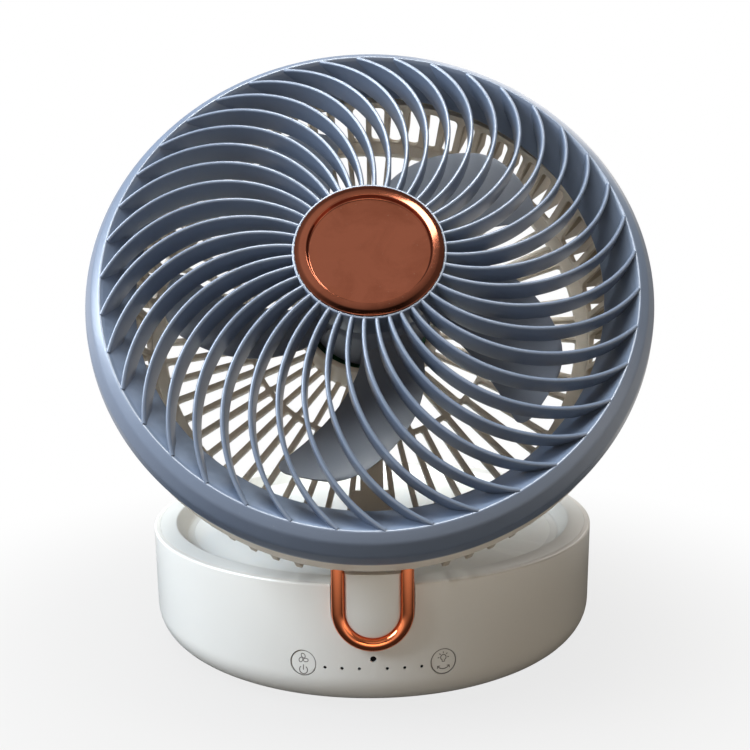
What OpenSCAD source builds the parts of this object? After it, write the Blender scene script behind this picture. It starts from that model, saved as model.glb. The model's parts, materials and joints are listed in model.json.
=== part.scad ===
// Folding camping fan. A fan head leans back on a U-shaped arm, hinged over a round
// battery base with a lamp dish in its top. The base swings on a foot hidden under it.
// Origin: on the floor under the base's axis. +Z is up and the front faces -Y.

/* [Head] */
// Backward lean of the head from upright, degrees
lean = 29.3; // [0:0.1:35]
// Radius of the front grille's lip
lip_r = 97; // [96:0.5:98]
// How far the middle of the grille stands out of the lip's plane
vane_rise = 10.2; // [8:0.2:12]
// Number of curved vanes in the front grille
vane_count = 40; // [30:1:44]
// Thickness of a vane
vane_t = 1.5; // [1.2:0.1:1.8]
// Number of impeller blades
blade_count = 5; // [3:1:6]
// Radius of the impeller at its blade tips
blade_r = 78; // [72:1:80]
// Number of ribs in the rear face outside its middle ring
rear_ribs = 60; // [40:1:64]
// Number of ribs in the rear face inside its middle ring
inner_ribs = 40; // [24:1:44]
// Number of ribs in the side wall
side_ribs = 72; // [48:4:76]

/* [Base] */
// Radius of the base at its top edge
base_r = 101.9; // [100:0.1:104]
// Height of the base's top above the floor
base_top = 51; // [50:0.5:53]
// Thickness of the moulded walls
wall = 2.5; // [2:0.1:2.8]
// Width of the rim round the lamp dish
rim_w = 9.9; // [9.5:0.1:13]
// Depth of the lamp dish
dish_depth = 6.3; // [5:0.1:7]
// Lean of the dish's wall from upright
dish_lean = 34; // [5:1:36]
// Number of lamp chips under the dish
lamp_count = 16; // [8:1:24]

/* [Arm] */
// Width of the U-shaped arm
arm_w = 30; // [28:0.5:31]
// Width of the plated trim round the arm
trim_w = 4.9; // [4:0.1:5.2]
// Height of the hinge axis above the base's top
hinge_rise = 10; // [9.5:0.1:12]

/* [Controls] */
// Radius of a push button's cap
button_r = 4.9; // [4.5:0.1:6]
// Angle of each button from the front
button_a = 14.8; // [14:0.1:18]
// Angle between neighbouring indicator lamps
lamp_pitch = 3.6; // [3:0.1:3.7]

/* [Drive] */
// Teeth of the fixed gear on the foot
sun_teeth = 48; // [40:2:50]
// Teeth of the swing motor's gear
drive_teeth = 16; // [14:2:18]

/* [Hidden] */
$fn = 96;
fine = 144;
cut = 1;

// Running clearance of a shaft in its bore, and the gap between trim pieces
run = 0.05;
gap = 0.4;

// Screws stand in rings of four, between the sides
screw_count = 4;
screw_a = 45;

// Levels of the base, from the floor up
pad_t = 1.5;
foot_t = 3;
shell_z = 2.1;
floor_z = 6;
floor_t = 2.5;
gear_z = 9.5;
gear_t = 4;
post_top = 16;
dish_z = base_top - dish_depth;
button_z = base_top - 30.8;
lamp_z = base_top - 31.8;
lamp_first = 2.9;
receiver_z = base_top - 28.1;

// Radii of the base
shell_fillet = 14.6;
draft = 0.8;
post_r = 9;
foot_r = base_r - 32.4;
pad_r = foot_r - 5.5;
recess_r = foot_r + 1;
dish_r = base_r - rim_w;
lamp_r = dish_r - 8;
ledge_w = 10;
cover_screw_r = lamp_r - 4;
lamp_board_r = cover_screw_r - 19;
lamp_board_post_r = lamp_board_r - 5;

// Main board, upright behind the controls
board_w = 68;
board_y = 17.5 - base_r;
board_t = 1.6;
board_low = shell_z + 6;

// Hinge of the head: the axis runs along X. The head's own frame has its origin in the
// middle of the lip's plane, Y up the head and Z out of the front.
hinge_y = 0.9 - base_r;
hinge_z = base_top + hinge_rise;
hinge_drop = lip_r + 1.5;
hinge_back = 39;
barrel_r = 4.6;
pin_r = 2;
lug_w = 14.8;
fork_w = 16.2;
washer_t = 0.5;

// Outline of the arm: a U whose round end is low in the base's front wall
arm_r = arm_w / 2;
arm_z = base_top - 9.35;
tongue_r = arm_r - trim_w;
trim_r = trim_w / 2;
trim_back = 1.2;
arm_back = hinge_y + barrel_r;
arm_face = hinge_y - 1.6;
flange_w = 44;
flange_t = 3;
flange_z = base_top - 24.1;
arm_screw_x = [-18.5, 18.5];
arm_screw_z = [flange_z + 3, flange_z + 13];
arm_screw_r = 1.1;

// Front grille, in the head's frame
ring_w = 8.6;
ring_r = lip_r + ring_w;
ring_back = -16.5;
ring_wall = 2.4;
band_r = lip_r - 9.6;
band_z = -13;
hub_ring_r = 27.3;
cap_r = 26.3;
cap_recess_r = 21.9;
vane_flat_r = 20;
vane_arc_r = 52.6;
vane_arc_pos = [51.2, 30.6];
vane_from = -124;
vane_to = -30.5;
vane_back = [[lip_r - 3.4, -6.8], [lip_r - 11, -5], [lip_r - 23, -2.6], [lip_r - 35, -0.9], [44, 0.3],
    [34, 2], [cap_r - 0.3, 4.4]];

// Rear shroud, in the head's frame
flange_back = -26.5;
flange_r = ring_r - 1;
wall_top_r = lip_r + 0.2;
wall_low_r = wall_top_r - 6;
corner_z = -45;
mid_ring_r = 50.4;
cup_r = 29.2;
cup_front = -33;
centre_z = -52.7;
plate_t = 2.5;
rear_rib_t = 1.8;
side_rib_t = 2.6;
duct_w = 8.8;
boss_w = 15.6;
boss_top = 72;
ring_screw_r = lip_r + 2.3;
ring_screw_head_r = 2;
// Each ring screw stands between two fins.
ring_screw_a = (floor(screw_a * side_ribs / 360) + 0.5) * 360 / side_ribs;
fin_r = flange_r - 0.6;
fin_low = corner_z - 2;
fin_notch = arm_r + 5;
fin_notch_a = asin(fin_notch / wall_low_r);

// Motor and impeller, in the head's frame
shaft_r = 1.5;
tube_r = 5;
can_r = 19.4;
hub_r = 24.5;
hub_front = -9;
blade_z = -19.5;
blade_pitch = 22;
blade_t = 1.8;
blade_camber_r = 90;

grey_blue = [0.42, 0.48, 0.57];
warm_white = [0.9, 0.9, 0.87];
cream = [0.86, 0.81, 0.73];
copper = [0.74, 0.4, 0.28];
slate = [0.36, 0.38, 0.43];
steel = [0.7, 0.71, 0.73];
black = [0.12, 0.12, 0.13];
board_green = [0.1, 0.34, 0.2];

// ---------- shared shapes ----------

// Places its children in the head's frame.
module in_head() {
    translate([0, hinge_y, hinge_z])
        rotate([90 - lean, 0, 0])
            translate([0, hinge_drop, hinge_back])
                children();
}

// Places its children at an angle from the front, with +X pointing outward.
module at_front(angle) {
    rotate([0, 0, angle - 90])
        children();
}

// Repeats its children round the Z axis.
module ring_of(count, radius, first = 0) {
    for (i = [0 : count - 1])
        rotate([0, 0, first + i * 360 / count])
            translate([radius, 0, 0])
                children();
}

module tube(outer, inner, z0, z1) {
    translate([0, 0, z0])
        difference() {
            cylinder(h = z1 - z0, r = outer);
            translate([0, 0, -cut])
                cylinder(h = z1 - z0 + 2 * cut, r = inner);
        }
}

module rod(radius, z0, z1) {
    translate([0, 0, z0])
        cylinder(h = z1 - z0, r = radius);
}

// A block given by its low and high corners.
module block(low, high) {
    translate(low)
        cube(high - low);
}

// Points of an arc in a profile, from one angle to another.
function arc(centre, r, from, to, steps = 8) =
    [for (i = [0 : steps]) let (a = from + (to - from) * i / steps) centre + r * [cos(a), sin(a)]];

// Upright U outline, open at the top, as an extrusion along Y from y0 to y1.
module u_block(radius, y0, y1, top) {
    translate([0, y1, 0])
        rotate([90, 0, 0])
            linear_extrude(height = y1 - y0) {
                translate([0, arm_z])
                    circle(r = radius);
                translate([-radius, arm_z])
                    square([2 * radius, top - arm_z]);
            }
}

// ---------- gears ----------

gear_module = 1;
pressure_a = 20;
backlash = 0.08;

function inv_deg(a) = tan(a) * 180 / PI - a;
function gear_pitch_r(teeth) = gear_module * teeth / 2;
function half_tooth(r, teeth) =
    let (pitch_r = gear_pitch_r(teeth), base_circle = pitch_r * cos(pressure_a))
        90 / teeth + inv_deg(pressure_a) - inv_deg(acos(min(1, base_circle / r)))
            - backlash / pitch_r * 180 / PI;
function polar(r, a) = [r * cos(a), r * sin(a)];

module gear_plan(teeth) {
    pitch_r = gear_pitch_r(teeth);
    tip_r = pitch_r + 0.9 * gear_module;
    root_r = pitch_r - 1.2 * gear_module;
    flank = [root_r, max(root_r, pitch_r * cos(pressure_a)) + 0.2, pitch_r, tip_r];
    polygon([for (i = [0 : teeth - 1], side = [-1, 1], k = [0 : 3])
        let (r = flank[side < 0 ? k : 3 - k])
            polar(r, i * 360 / teeth + side * half_tooth(r, teeth))]);
}

gear_centres = gear_pitch_r(sun_teeth) + gear_pitch_r(drive_teeth);

// ---------- foot ----------

module foot_pad() {
    color(black)
        rod(pad_r, 0, pad_t);
}

module foot_disc() {
    color(warm_white)
        difference() {
            rotate_extrude($fn = fine)
                polygon([[0, pad_t], [foot_r, pad_t], [foot_r, pad_t + foot_t - 0.6],
                    [foot_r - 0.6, pad_t + foot_t], [0, pad_t + foot_t]]);
            rod(post_r, 0, floor_z);
        }
}

module pivot_post() {
    color(warm_white)
        tube(post_r, 3, pad_t, post_top);
}

module thrust_washer() {
    color(cream)
        tube(22, post_r, pad_t + foot_t, floor_z - run);
}

module sun_gear() {
    color(warm_white)
        difference() {
            union() {
                rod(post_r + 3, floor_z + floor_t + run, gear_z + cut);
                translate([0, 0, gear_z])
                    linear_extrude(height = gear_t)
                        gear_plan(sun_teeth);
            }
            rod(post_r, 0, base_top);
        }
}

module retaining_washer() {
    color(steel)
        tube(post_r + 3, 3, post_top, post_top + 1.2);
}

module pivot_screw() {
    color(steel)
        difference() {
            union() {
                rod(3, pad_t + 0.5, post_top + 1.2);
                rod(5, post_top + 1.2, post_top + 4);
            }
            translate([0, 0, post_top + 3])
                for (a = [0, 90])
                    rotate([0, 0, a])
                        block([-3, -0.5, 0], [3, 0.5, 2]);
        }
}

// ---------- base housing ----------

shell_low_r = base_r - draft;

// Half section of the outer skin: flat bottom, round lower edge, slightly drafted wall.
shell_outer = concat([[recess_r, shell_z]],
    arc([shell_low_r - shell_fillet, shell_z + shell_fillet], shell_fillet, -90, 0, 10),
    arc([base_r - draft, base_top - draft], draft, 0, 90, 4));
shell_inner = concat([[base_r - wall, base_top]],
    arc([shell_low_r - shell_fillet, shell_z + shell_fillet], shell_fillet - wall, 0, -90, 8),
    [[recess_r + wall, shell_z + wall], [recess_r + wall, floor_z + floor_t],
    [post_r + run, floor_z + floor_t], [post_r + run, floor_z], [recess_r, floor_z]]);

module base_shell() {
    color(warm_white)
        difference() {
            union() {
                rotate_extrude($fn = fine)
                    polygon(concat(shell_outer, shell_inner));
                shell_posts();
            }
            u_block(arm_r + gap, hinge_y - 10, arm_back, base_top + cut);
            control_holes();
            screw_holes();
            port_slot();
        }
}

// Posts that stand on the floor: for the cover, the lamp board, the motor and the board.
module shell_posts() {
    ring_of(screw_count, cover_screw_r, screw_a)
        rod(4, shell_z + 1, base_top - 14);
    for (side = [-1, 1]) {
        ring_of(2, lamp_board_post_r, side * 20)
            rod(3, floor_z + 1, base_top - 15);
        translate([gear_centres, side * 17, 0])
            rod(3, floor_z + 1, gear_z + 5.5);
        difference() {
            intersection() {
                block([side * (board_w / 2 + 1.5) - 2.5, board_y - 3.6, shell_z],
                    [side * (board_w / 2 + 1.5) + 2.5, board_y + 2, button_z + 8]);
                rotate_extrude($fn = fine)
                    polygon(concat(shell_outer, [[0, base_top], [0, shell_z]]));
            }
            block([-board_w / 2 - 0.1, board_y - board_t - run, board_low - run],
                [board_w / 2 + 0.1, board_y + run, base_top]);
        }
    }
    intersection() {
        for (x = arm_screw_x, z = arm_screw_z)
            translate([x, arm_back, z])
                rotate([90, 0, 0])
                    cylinder(h = 6, r = 2.6);
        rod(base_r - 1, shell_z, base_top);
    }
}

module control_holes() {
    for (side = [-1, 1]) {
        at_front(side * button_a)
            translate([base_r - 6, 0, button_z])
                rotate([0, 90, 0])
                    cylinder(h = 10, r = button_r + 0.15);
        for (k = [0 : 2])
            at_front(side * (lamp_first + k * lamp_pitch))
                translate([base_r - 6, 0, lamp_z])
                    rotate([0, 90, 0])
                        cylinder(h = 10, r = 0.62, $fn = 32);
    }
    translate([0, 6 - base_r, receiver_z])
        rotate([90, 0, 0])
            cylinder(h = 10, r = 1.15, $fn = 32);
}

module screw_holes() {
    ring_of(screw_count, cover_screw_r, screw_a) {
        rod(1.7, 0, base_top);
        rod(3.2, 0, floor_z);
    }
    for (x = arm_screw_x, z = arm_screw_z)
        translate([x, arm_back + cut, z])
            rotate([90, 0, 0])
                cylinder(h = 3.6, r = arm_screw_r, $fn = 32);
}

module port_plan(grow) {
    for (x = [-2.9, 2.9])
        translate([x, 0])
            circle(r = 1.6 + grow, $fn = 32);
    square([5.8, 3.2 + 2 * grow], center = true);
}

module port_slot() {
    translate([0, base_r + cut, button_z])
        rotate([90, 0, 0])
            linear_extrude(height = 8)
                port_plan(0.2);
}

module cover_screws() {
    color(steel)
        ring_of(screw_count, cover_screw_r, screw_a) {
            rod(1.4, floor_z - cut, base_top - 10.5);
            rod(2.8, floor_z - 2, floor_z);
        }
}

cover_edge_r = base_r - wall - 0.15;
ledge_z = dish_z - 1.7;
dish_lip = 1.2;
dish_fillet = 2.5;
// Radius where the dish's floor starts, inside the fillet under its leaning wall
dish_foot_r = dish_r + dish_lip - dish_lip * cos(dish_lean) - dish_fillet * cos(dish_lean)
    - tan(dish_lean) * (dish_depth - dish_lip - dish_fillet + (dish_lip + dish_fillet) * sin(dish_lean));

// Half section of the rim and the dish's wall, with a ledge for the lamp's disc.
cover_section = concat([[cover_edge_r, base_top - 3], [cover_edge_r, base_top - 0.4],
    [cover_edge_r - 0.4, base_top]],
    arc([dish_r + dish_lip, base_top - dish_lip], dish_lip, 90, 180 - dish_lean, 4),
    arc([dish_foot_r, dish_z + dish_fillet], dish_fillet, -dish_lean, -90, 5),
    [[lamp_r + 0.2, dish_z], [lamp_r + 0.2, ledge_z], [lamp_r - ledge_w, ledge_z],
    [lamp_r - ledge_w, ledge_z - 2],
    [dish_r - 0.5, ledge_z - 2], [dish_r + 2.2, ledge_z + 1.5], [dish_r + 2.2, base_top - 3]]);

module top_cover() {
    color(warm_white)
        difference() {
            union() {
                rotate_extrude($fn = fine)
                    polygon(cover_section);
                ring_of(screw_count, cover_screw_r, screw_a)
                    rod(3.5, base_top - 14, ledge_z - 1);
            }
            ring_of(screw_count, cover_screw_r, screw_a)
                rod(1.4, base_top - 15, base_top - 10.4);
            u_block(arm_r + gap, hinge_y - 10, arm_back + gap, base_top + cut);
        }
}

module lamp_diffuser() {
    color([0.95, 0.93, 0.86])
        rod(lamp_r, ledge_z, dish_z);
}

module lamp_board() {
    color(board_green)
        tube(lamp_board_r, 12, base_top - 15, base_top - 13.4);
}

module lamp_chips() {
    color([0.95, 0.9, 0.6])
        ring_of(lamp_count, lamp_board_r - 16)
            block([-1.4, -1.75, base_top - 13.4], [1.4, 1.75, base_top - 12.6]);
}

// ---------- arm ----------

// Places its children on the arm's face, with +Z out of the front and +Y up.
module on_arm() {
    translate([0, arm_face, arm_z])
        rotate([90, 0, 0])
            children();
}

// Half-round bar on a flat back.
module trim_section() {
    intersection() {
        circle(r = trim_r);
        translate([-trim_r, 0])
            square([trim_w, trim_r]);
    }
    translate([-trim_r, -trim_back])
        square([trim_w, trim_back]);
}

// The trim's legs stop just under the hinge pin.
module trim_legs() {
    leg_l = hinge_z - pin_r - gap - arm_z;
    for (side = [0, 1])
        mirror([side, 0, 0])
            translate([arm_r - trim_r, leg_l, 0])
                rotate([90, 0, 0])
                    linear_extrude(height = leg_l)
                        trim_section();
}

module arm_trim() {
    color(copper)
        on_arm() {
            trim_legs();
            rotate([0, 0, 180])
                rotate_extrude(angle = 180, $fn = fine)
                    translate([arm_r - trim_r, 0])
                        trim_section();
        }
}

module hinge_arm() {
    color(warm_white)
        difference() {
            union() {
                u_block(arm_r, arm_face + trim_back, arm_back, hinge_z);
                u_block(tongue_r, arm_face - 1.6, arm_back, hinge_z - 5);
                translate([-arm_r, hinge_y, hinge_z])
                    rotate([0, 90, 0])
                        cylinder(h = arm_w, r = barrel_r);
                block([-flange_w / 2, arm_back, flange_z], [flange_w / 2, arm_back + flange_t, base_top - 8]);
            }
            block([-fork_w / 2, hinge_y - 10, hinge_z - barrel_r - gap],
                [fork_w / 2, hinge_y + 10, hinge_z + 10]);
            on_arm()
                trim_legs();
            translate([-arm_r, hinge_y, hinge_z])
                rotate([0, 90, 0])
                    cylinder(h = arm_w, r = pin_r);
            for (x = arm_screw_x, z = arm_screw_z)
                translate([x, arm_back + flange_t + cut, z])
                    rotate([90, 0, 0])
                        cylinder(h = flange_t + 2 * cut, r = arm_screw_r, $fn = 32);
        }
}

module arm_screws() {
    color(steel)
        for (x = arm_screw_x, z = arm_screw_z)
            translate([x, arm_back + flange_t, z])
                rotate([90, 0, 0]) {
                    cylinder(h = flange_t + 2.4, r = arm_screw_r, $fn = 32);
                    translate([0, 0, -1.4])
                        cylinder(h = 1.4, r = 2.2, $fn = 32);
                }
}

module hinge_pin() {
    color(steel)
        translate([-arm_r, hinge_y, hinge_z])
            rotate([0, 90, 0])
                cylinder(h = arm_w, r = pin_r);
}

module friction_washers() {
    color(steel)
        for (side = [-1, 1])
            translate([side * (fork_w / 2 - washer_t / 2 - run), hinge_y, hinge_z])
                rotate([0, 90, 0])
                    difference() {
                        cylinder(h = washer_t, r = 4.2, center = true);
                        cylinder(h = washer_t + cut, r = pin_r + run, center = true);
                    }
}

// ---------- electronics in the base ----------

module main_board() {
    color(board_green)
        block([-board_w / 2, board_y - board_t, board_low], [board_w / 2, board_y, button_z + 11]);
}

module tact_switches() {
    switch_x = (base_r - 6.7) * sin(button_a);
    color(black)
        for (side = [-1, 1])
            translate([side * switch_x, board_y - board_t, button_z])
                rotate([90, 0, 0]) {
                    translate([-3, -3, 0])
                        cube([6, 6, 3.5]);
                    cylinder(h = 5, r = 1.7, $fn = 32);
                }
}

module indicator_pipes() {
    color([0.9, 0.95, 1])
        intersection() {
            for (side = [-1, 1], k = [0 : 2])
                at_front(side * (lamp_first + k * lamp_pitch))
                    translate([base_r - 12, 0, lamp_z])
                        rotate([0, 90, 0]) {
                            cylinder(h = 20, r = 0.6, $fn = 32);
                            cylinder(h = 8.5, r = 1.3, $fn = 32);
                        }
            rod(base_r - draft - 0.1, 0, base_top, $fn = fine);
        }
}

module receiver_window() {
    color(black)
        translate([0, draft + 0.3 - base_r, receiver_z])
            rotate([-90, 0, 0]) {
                cylinder(h = 9, r = 1.1, $fn = 32);
                translate([-1.1, -1.1, 9])
                    cube([2.2, 2.2, 5]);
            }
}

cell_r = 10.6;
cell_l = 70;
cell_pitch = 2 * cell_r + 1.2;
cell_y = [base_r - 28 - cell_pitch, base_r - 28];
cell_z = floor_z + floor_t + 1.6 + cell_r;
tray_l = cell_l + 8;

module battery_cells() {
    color([0.2, 0.45, 0.65])
        for (y = cell_y)
            translate([-cell_l / 2, y, cell_z])
                rotate([0, 90, 0]) {
                    cylinder(h = cell_l, r = cell_r);
                    cylinder(h = cell_l + 1.2, r = 2.8);
                }
}

module battery_tray() {
    color(black)
        difference() {
            block([-tray_l / 2, cell_y[0] - cell_r - 1.2, floor_z + floor_t],
                [tray_l / 2, cell_y[1] + cell_r + 1.2, cell_z]);
            for (y = cell_y)
                translate([-cell_l / 2 - 0.6, y, cell_z])
                    rotate([0, 90, 0])
                        cylinder(h = cell_l + 2.4, r = cell_r + 0.1);
        }
}

module charge_port() {
    color(steel)
        translate([0, base_r - draft - 1, button_z])
            rotate([90, 0, 0]) {
                difference() {
                    linear_extrude(height = 7.5)
                        port_plan(0);
                    translate([0, 0, -cut])
                        linear_extrude(height = 7)
                            port_plan(-0.35);
                }
                translate([-3.2, -0.35, 1])
                    cube([6.4, 0.7, 6]);
            }
}

module port_board() {
    color(board_green)
        block([-10, base_r - 14.6, button_z - 3.2], [10, base_r - 3.8, button_z - 1.6]);
}

// ---------- swing drive ----------

module swing_motor() {
    color(steel)
        translate([gear_centres, 0, 0])
            difference() {
                union() {
                    rod(12, gear_z + 5.5, gear_z + 18);
                    block([-3.5, -20.5, gear_z + 5.5], [3.5, 20.5, gear_z + 6.7]);
                }
                rod(shaft_r + run, 0, gear_z + 10);
            }
}

module drive_shaft() {
    color(steel)
        translate([gear_centres, 0, 0])
            rod(shaft_r, gear_z, gear_z + 9.5);
}

module drive_gear() {
    color(warm_white)
        translate([gear_centres, 0, gear_z])
            difference() {
                rotate([0, 0, 180 / drive_teeth])
                    linear_extrude(height = gear_t)
                        gear_plan(drive_teeth);
                rod(shaft_r, -cut, gear_t + cut);
            }
}

// ---------- buttons ----------

// A round cap that fills its hole flush with the wall, with a flange inside the wall.
module button(angle) {
    color(warm_white)
        at_front(angle)
            intersection() {
                translate([0, 0, button_z])
                    rotate([0, 90, 0]) {
                        rod(button_r, base_r - 4.5, base_r + 2);
                        rod(button_r + 1.2, base_r - 5.4, base_r - 3.8);
                        rod(2, base_r - 6.7, base_r - 4.5);
                    }
                rod(base_r - draft + 0.05, 0, base_top, $fn = fine);
            }
}

module power_button() {
    button(-button_a);
}

module light_button() {
    button(button_a);
}

// ---------- rear shroud ----------

// Spokes as a plan: bars that run outward from one radius to another.
module spokes(count, width, from, to, first = 0) {
    for (i = [0 : count - 1])
        rotate(first + i * 360 / count)
            translate([from, -width / 2])
                square([to - from, width]);
}

function dome_z(r) = centre_z + 3.2 + (r - cup_r) / (wall_low_r - cup_r) * (corner_z - centre_z - 3.2);

module rear_shroud() {
    color(cream)
        in_head()
            difference() {
                union() {
                    shroud_rings();
                    shroud_ribs();
                    shroud_fins();
                    shroud_hinge();
                }
                rod(tube_r, centre_z - cut, 0);
                translate([-lug_w, -hinge_drop, -hinge_back])
                    rotate([0, 90, 0])
                        cylinder(h = 2 * lug_w, r = pin_r + run);
                ring_of(screw_count, ring_screw_r, ring_screw_a)
                    rod(1.3, flange_back - cut, 0, $fn = 32);
            }
}

module shroud_rings() {
    rotate_extrude($fn = fine) {
        polygon([[wall_top_r - 2.4, flange_back], [flange_r - 2.4, flange_back],
            [flange_r, flange_back + 1.9], [flange_r, ring_back - 0.5], [flange_r - 1.6, ring_back - 0.5],
            [flange_r - 1.6, -13.4], [flange_r - 3.6, -13.4], [flange_r - 3.6, flange_back + 2.2],
            [wall_top_r - 2.4, flange_back + 2.2]]);
        polygon([[84.5, corner_z - 0.4], [wall_low_r - 2.4, corner_z + 1.4],
            [wall_low_r + 0.2, corner_z + 1.2], [wall_low_r + 0.2, corner_z - 0.6],
            [wall_low_r - 1.8, corner_z - 2.8], [84.5, corner_z - 3]]);
        translate([mid_ring_r - 0.9, dome_z(mid_ring_r) - 3.2])
            square([1.8, 3.2]);
        translate([cup_r - 2.2, centre_z])
            square([2.2, cup_front - centre_z]);
    }
    rod(cup_r, centre_z, centre_z + plate_t);
    ring_of(screw_count, ring_screw_r, ring_screw_a)
        rod(3, flange_back + 1, -13.6);
}

module shroud_ribs() {
    intersection() {
        translate([0, 0, centre_z])
            linear_extrude(height = 30) {
                spokes(rear_ribs, rear_rib_t, mid_ring_r, wall_low_r - 2);
                spokes(inner_ribs, rear_rib_t, cup_r - 1, mid_ring_r);
            }
        rotate_extrude($fn = fine)
            polygon([[cup_r - 1, centre_z], [wall_low_r - 2, corner_z - 3], [wall_low_r - 2, corner_z],
                [cup_r - 1, centre_z + 3.2]]);
    }
    intersection() {
        translate([0, 0, corner_z])
            linear_extrude(height = flange_back + 1 - corner_z)
                spokes(side_ribs, side_rib_t, wall_low_r - 4, wall_top_r + 1);
        rotate_extrude($fn = fine)
            polygon([[wall_low_r - 2.4, corner_z], [wall_low_r, corner_z], [wall_top_r, flange_back + 1],
                [wall_top_r - 2.4, flange_back + 1]]);
    }
}

// Deep fins outside the side wall, left out where the arm folds past them.
module shroud_fins() {
    intersection() {
        translate([0, 0, fin_low - cut])
            linear_extrude(height = flange_back - fin_low + 2 * cut)
                for (i = [0 : side_ribs - 1])
                    if (abs(i * 360 / side_ribs - 270) > fin_notch_a)
                        rotate(i * 360 / side_ribs)
                            translate([wall_low_r - 4, -side_rib_t / 2])
                                square([fin_r - wall_low_r + 5, side_rib_t]);
        rotate_extrude($fn = fine)
            polygon([[wall_low_r - 1.2, corner_z - 1.4], [fin_r - 1, fin_low], [fin_r, fin_low + 1],
                [fin_r, flange_back + 1.6], [wall_top_r - 1.2, flange_back + 1.6],
                [wall_low_r - 1.2, corner_z + 0.4]]);
    }
}

// Hinge lug outside the side wall, its plate inside the rear face, and the cable duct.
module shroud_hinge() {
    translate([0, -hinge_drop, -hinge_back]) {
        rotate([0, 90, 0])
            cylinder(h = lug_w, r = barrel_r, center = true);
        block([-lug_w / 2, 0, -barrel_r], [lug_w / 2, 8.2, barrel_r]);
    }
    block([-boss_w / 2, -wall_low_r + 0.5, corner_z - 3.2], [boss_w / 2, -boss_top, corner_z + 0.6]);
    block([-duct_w / 2, -boss_top - cut, centre_z + 1.2], [duct_w / 2, -cup_r + 1, corner_z]);
}

module motor_cover() {
    color(cream)
        in_head()
            rotate_extrude($fn = fine)
                polygon([[0, centre_z], [26, centre_z], [26, centre_z - 0.8], [24.5, centre_z - 1.8],
                    [0, centre_z - 1.8]]);
}

// ---------- motor ----------

module motor_board() {
    color(board_green)
        in_head()
            tube(24, tube_r, centre_z + plate_t, centre_z + plate_t + 1.6);
}

module bearing_tube() {
    color("goldenrod")
        in_head()
            tube(tube_r, 3.2, centre_z, -22);
}

// A plain bush: its bore runs on the shaft.
module bush(z0, z1) {
    color("goldenrod")
        in_head()
            tube(3.2, shaft_r + run, z0, z1);
}

module rear_bearing() {
    bush(centre_z + 3, centre_z + 9);
}

module front_bearing() {
    bush(-29, -23);
}

stator_low = -40;
stator_high = -26;
stator_poles = 9;
pole_w = 3;
pole_r = 14;

module motor_stator() {
    color(steel)
        in_head()
            translate([0, 0, stator_low])
                linear_extrude(height = stator_high - stator_low)
                    difference() {
                        union() {
                            circle(r = 8.5);
                            spokes(stator_poles, pole_w, 6, pole_r);
                            intersection() {
                                difference() {
                                    circle(r = pole_r + 2);
                                    circle(r = pole_r);
                                }
                                spokes(stator_poles, 9.2, 10, 18);
                            }
                        }
                        circle(r = tube_r);
                    }
}

module motor_windings() {
    color(copper)
        in_head()
            ring_of(stator_poles, 0)
                difference() {
                    block([8.8, -2.6, stator_low - 1.5], [13.2, 2.6, stator_high + 1.5]);
                    block([8, -pole_w / 2, stator_low], [pole_r, pole_w / 2, stator_high]);
                }
}

module rotor_can() {
    color(steel)
        in_head() {
            tube(can_r, can_r - 1, -42, -18);
            tube(can_r, shaft_r, -19, -18);
        }
}

module magnet_ring() {
    color(black)
        in_head()
            tube(can_r - 1, can_r - 2.6, -41, -24);
}

module motor_shaft() {
    color(steel)
        in_head()
            rod(shaft_r, centre_z + 4, -8);
}

// ---------- impeller ----------

// Angles of a blade's two edges at a radius: the blade sweeps back and narrows outward.
function blade_u(r) = (r - 30) / (blade_r - 32);
function blade_mid(r) = -77 - 28.5 * pow(max(0, blade_u(r)), 1.2);
function blade_half(r) = 21 - 9.5 * pow(max(0, blade_u(r)), 1.9);

module blade_plan() {
    low_r = hub_r - 2;
    high_r = blade_r - 4;
    steps = 6;
    radii = [for (k = [0 : steps]) low_r + (high_r - low_r) * k / steps];
    polygon(concat(
        [for (r = radii) polar(r, blade_mid(r) - blade_half(r))],
        [polar(blade_r - 1, blade_mid(blade_r) - 9), polar(blade_r, blade_mid(blade_r) - 5),
        polar(blade_r, blade_mid(blade_r) + 5), polar(blade_r - 1, blade_mid(blade_r) + 9.5)],
        [for (k = [steps : -1 : 0]) polar(radii[k], blade_mid(radii[k]) + blade_half(radii[k]))]));
}

// A blade is the part of a thin curved sheet, pitched about the blade's middle, that
// lies inside the blade's outline.
module blade() {
    intersection() {
        translate([0, 0, blade_z - 12])
            linear_extrude(height = 24)
                blade_plan();
        rotate([0, 0, -92])
            translate([hub_r - 6, 0, blade_z])
                rotate([blade_pitch, 0, 0])
                    translate([0, 0, -blade_camber_r])
                        rotate([0, 90, 0])
                            tube(blade_camber_r + blade_t / 2, blade_camber_r - blade_t / 2,
                                0, blade_r, $fn = 360);
    }
}

module impeller() {
    color(slate)
        in_head() {
            difference() {
                rod(hub_r, -36, hub_front);
                rod(can_r, -37, -18);
                rod(shaft_r, -19, hub_front + cut);
            }
            difference() {
                for (i = [0 : blade_count - 1])
                    rotate([0, 0, i * 360 / blade_count])
                        blade();
                rod(hub_r - 1, -60, 0);
            }
        }
}

module impeller_nut() {
    color(steel)
        in_head()
            tube(3.5, shaft_r, hub_front, hub_front + 2.2);
}

// ---------- front grille ----------

function vane_front(r) =
    vane_rise * (1 - pow(max(0, (r - vane_flat_r) / (lip_r + 1 - vane_flat_r)), 3.4));

// Region between the front and the back edges of the vanes, as a half section.
// It steps back under the cap's rim.
vane_lens = concat([[cap_r - 0.3, 9], [cap_r + 0.1, 9], [cap_r + 0.1, vane_front(cap_r + 0.1)]],
    [for (d = [59, 49, 39, 31, 23, 16, 10, 5, 2]) [lip_r - d, vane_front(lip_r - d)]],
    [[lip_r - 0.3, -0.2]], vane_back);

// Height of the ring's inner face at a radius.
function ring_inside_z(r) = -ring_wall - 1 - 3.6 * (r - lip_r - 0.4) / (ring_w - 4.8);

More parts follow.
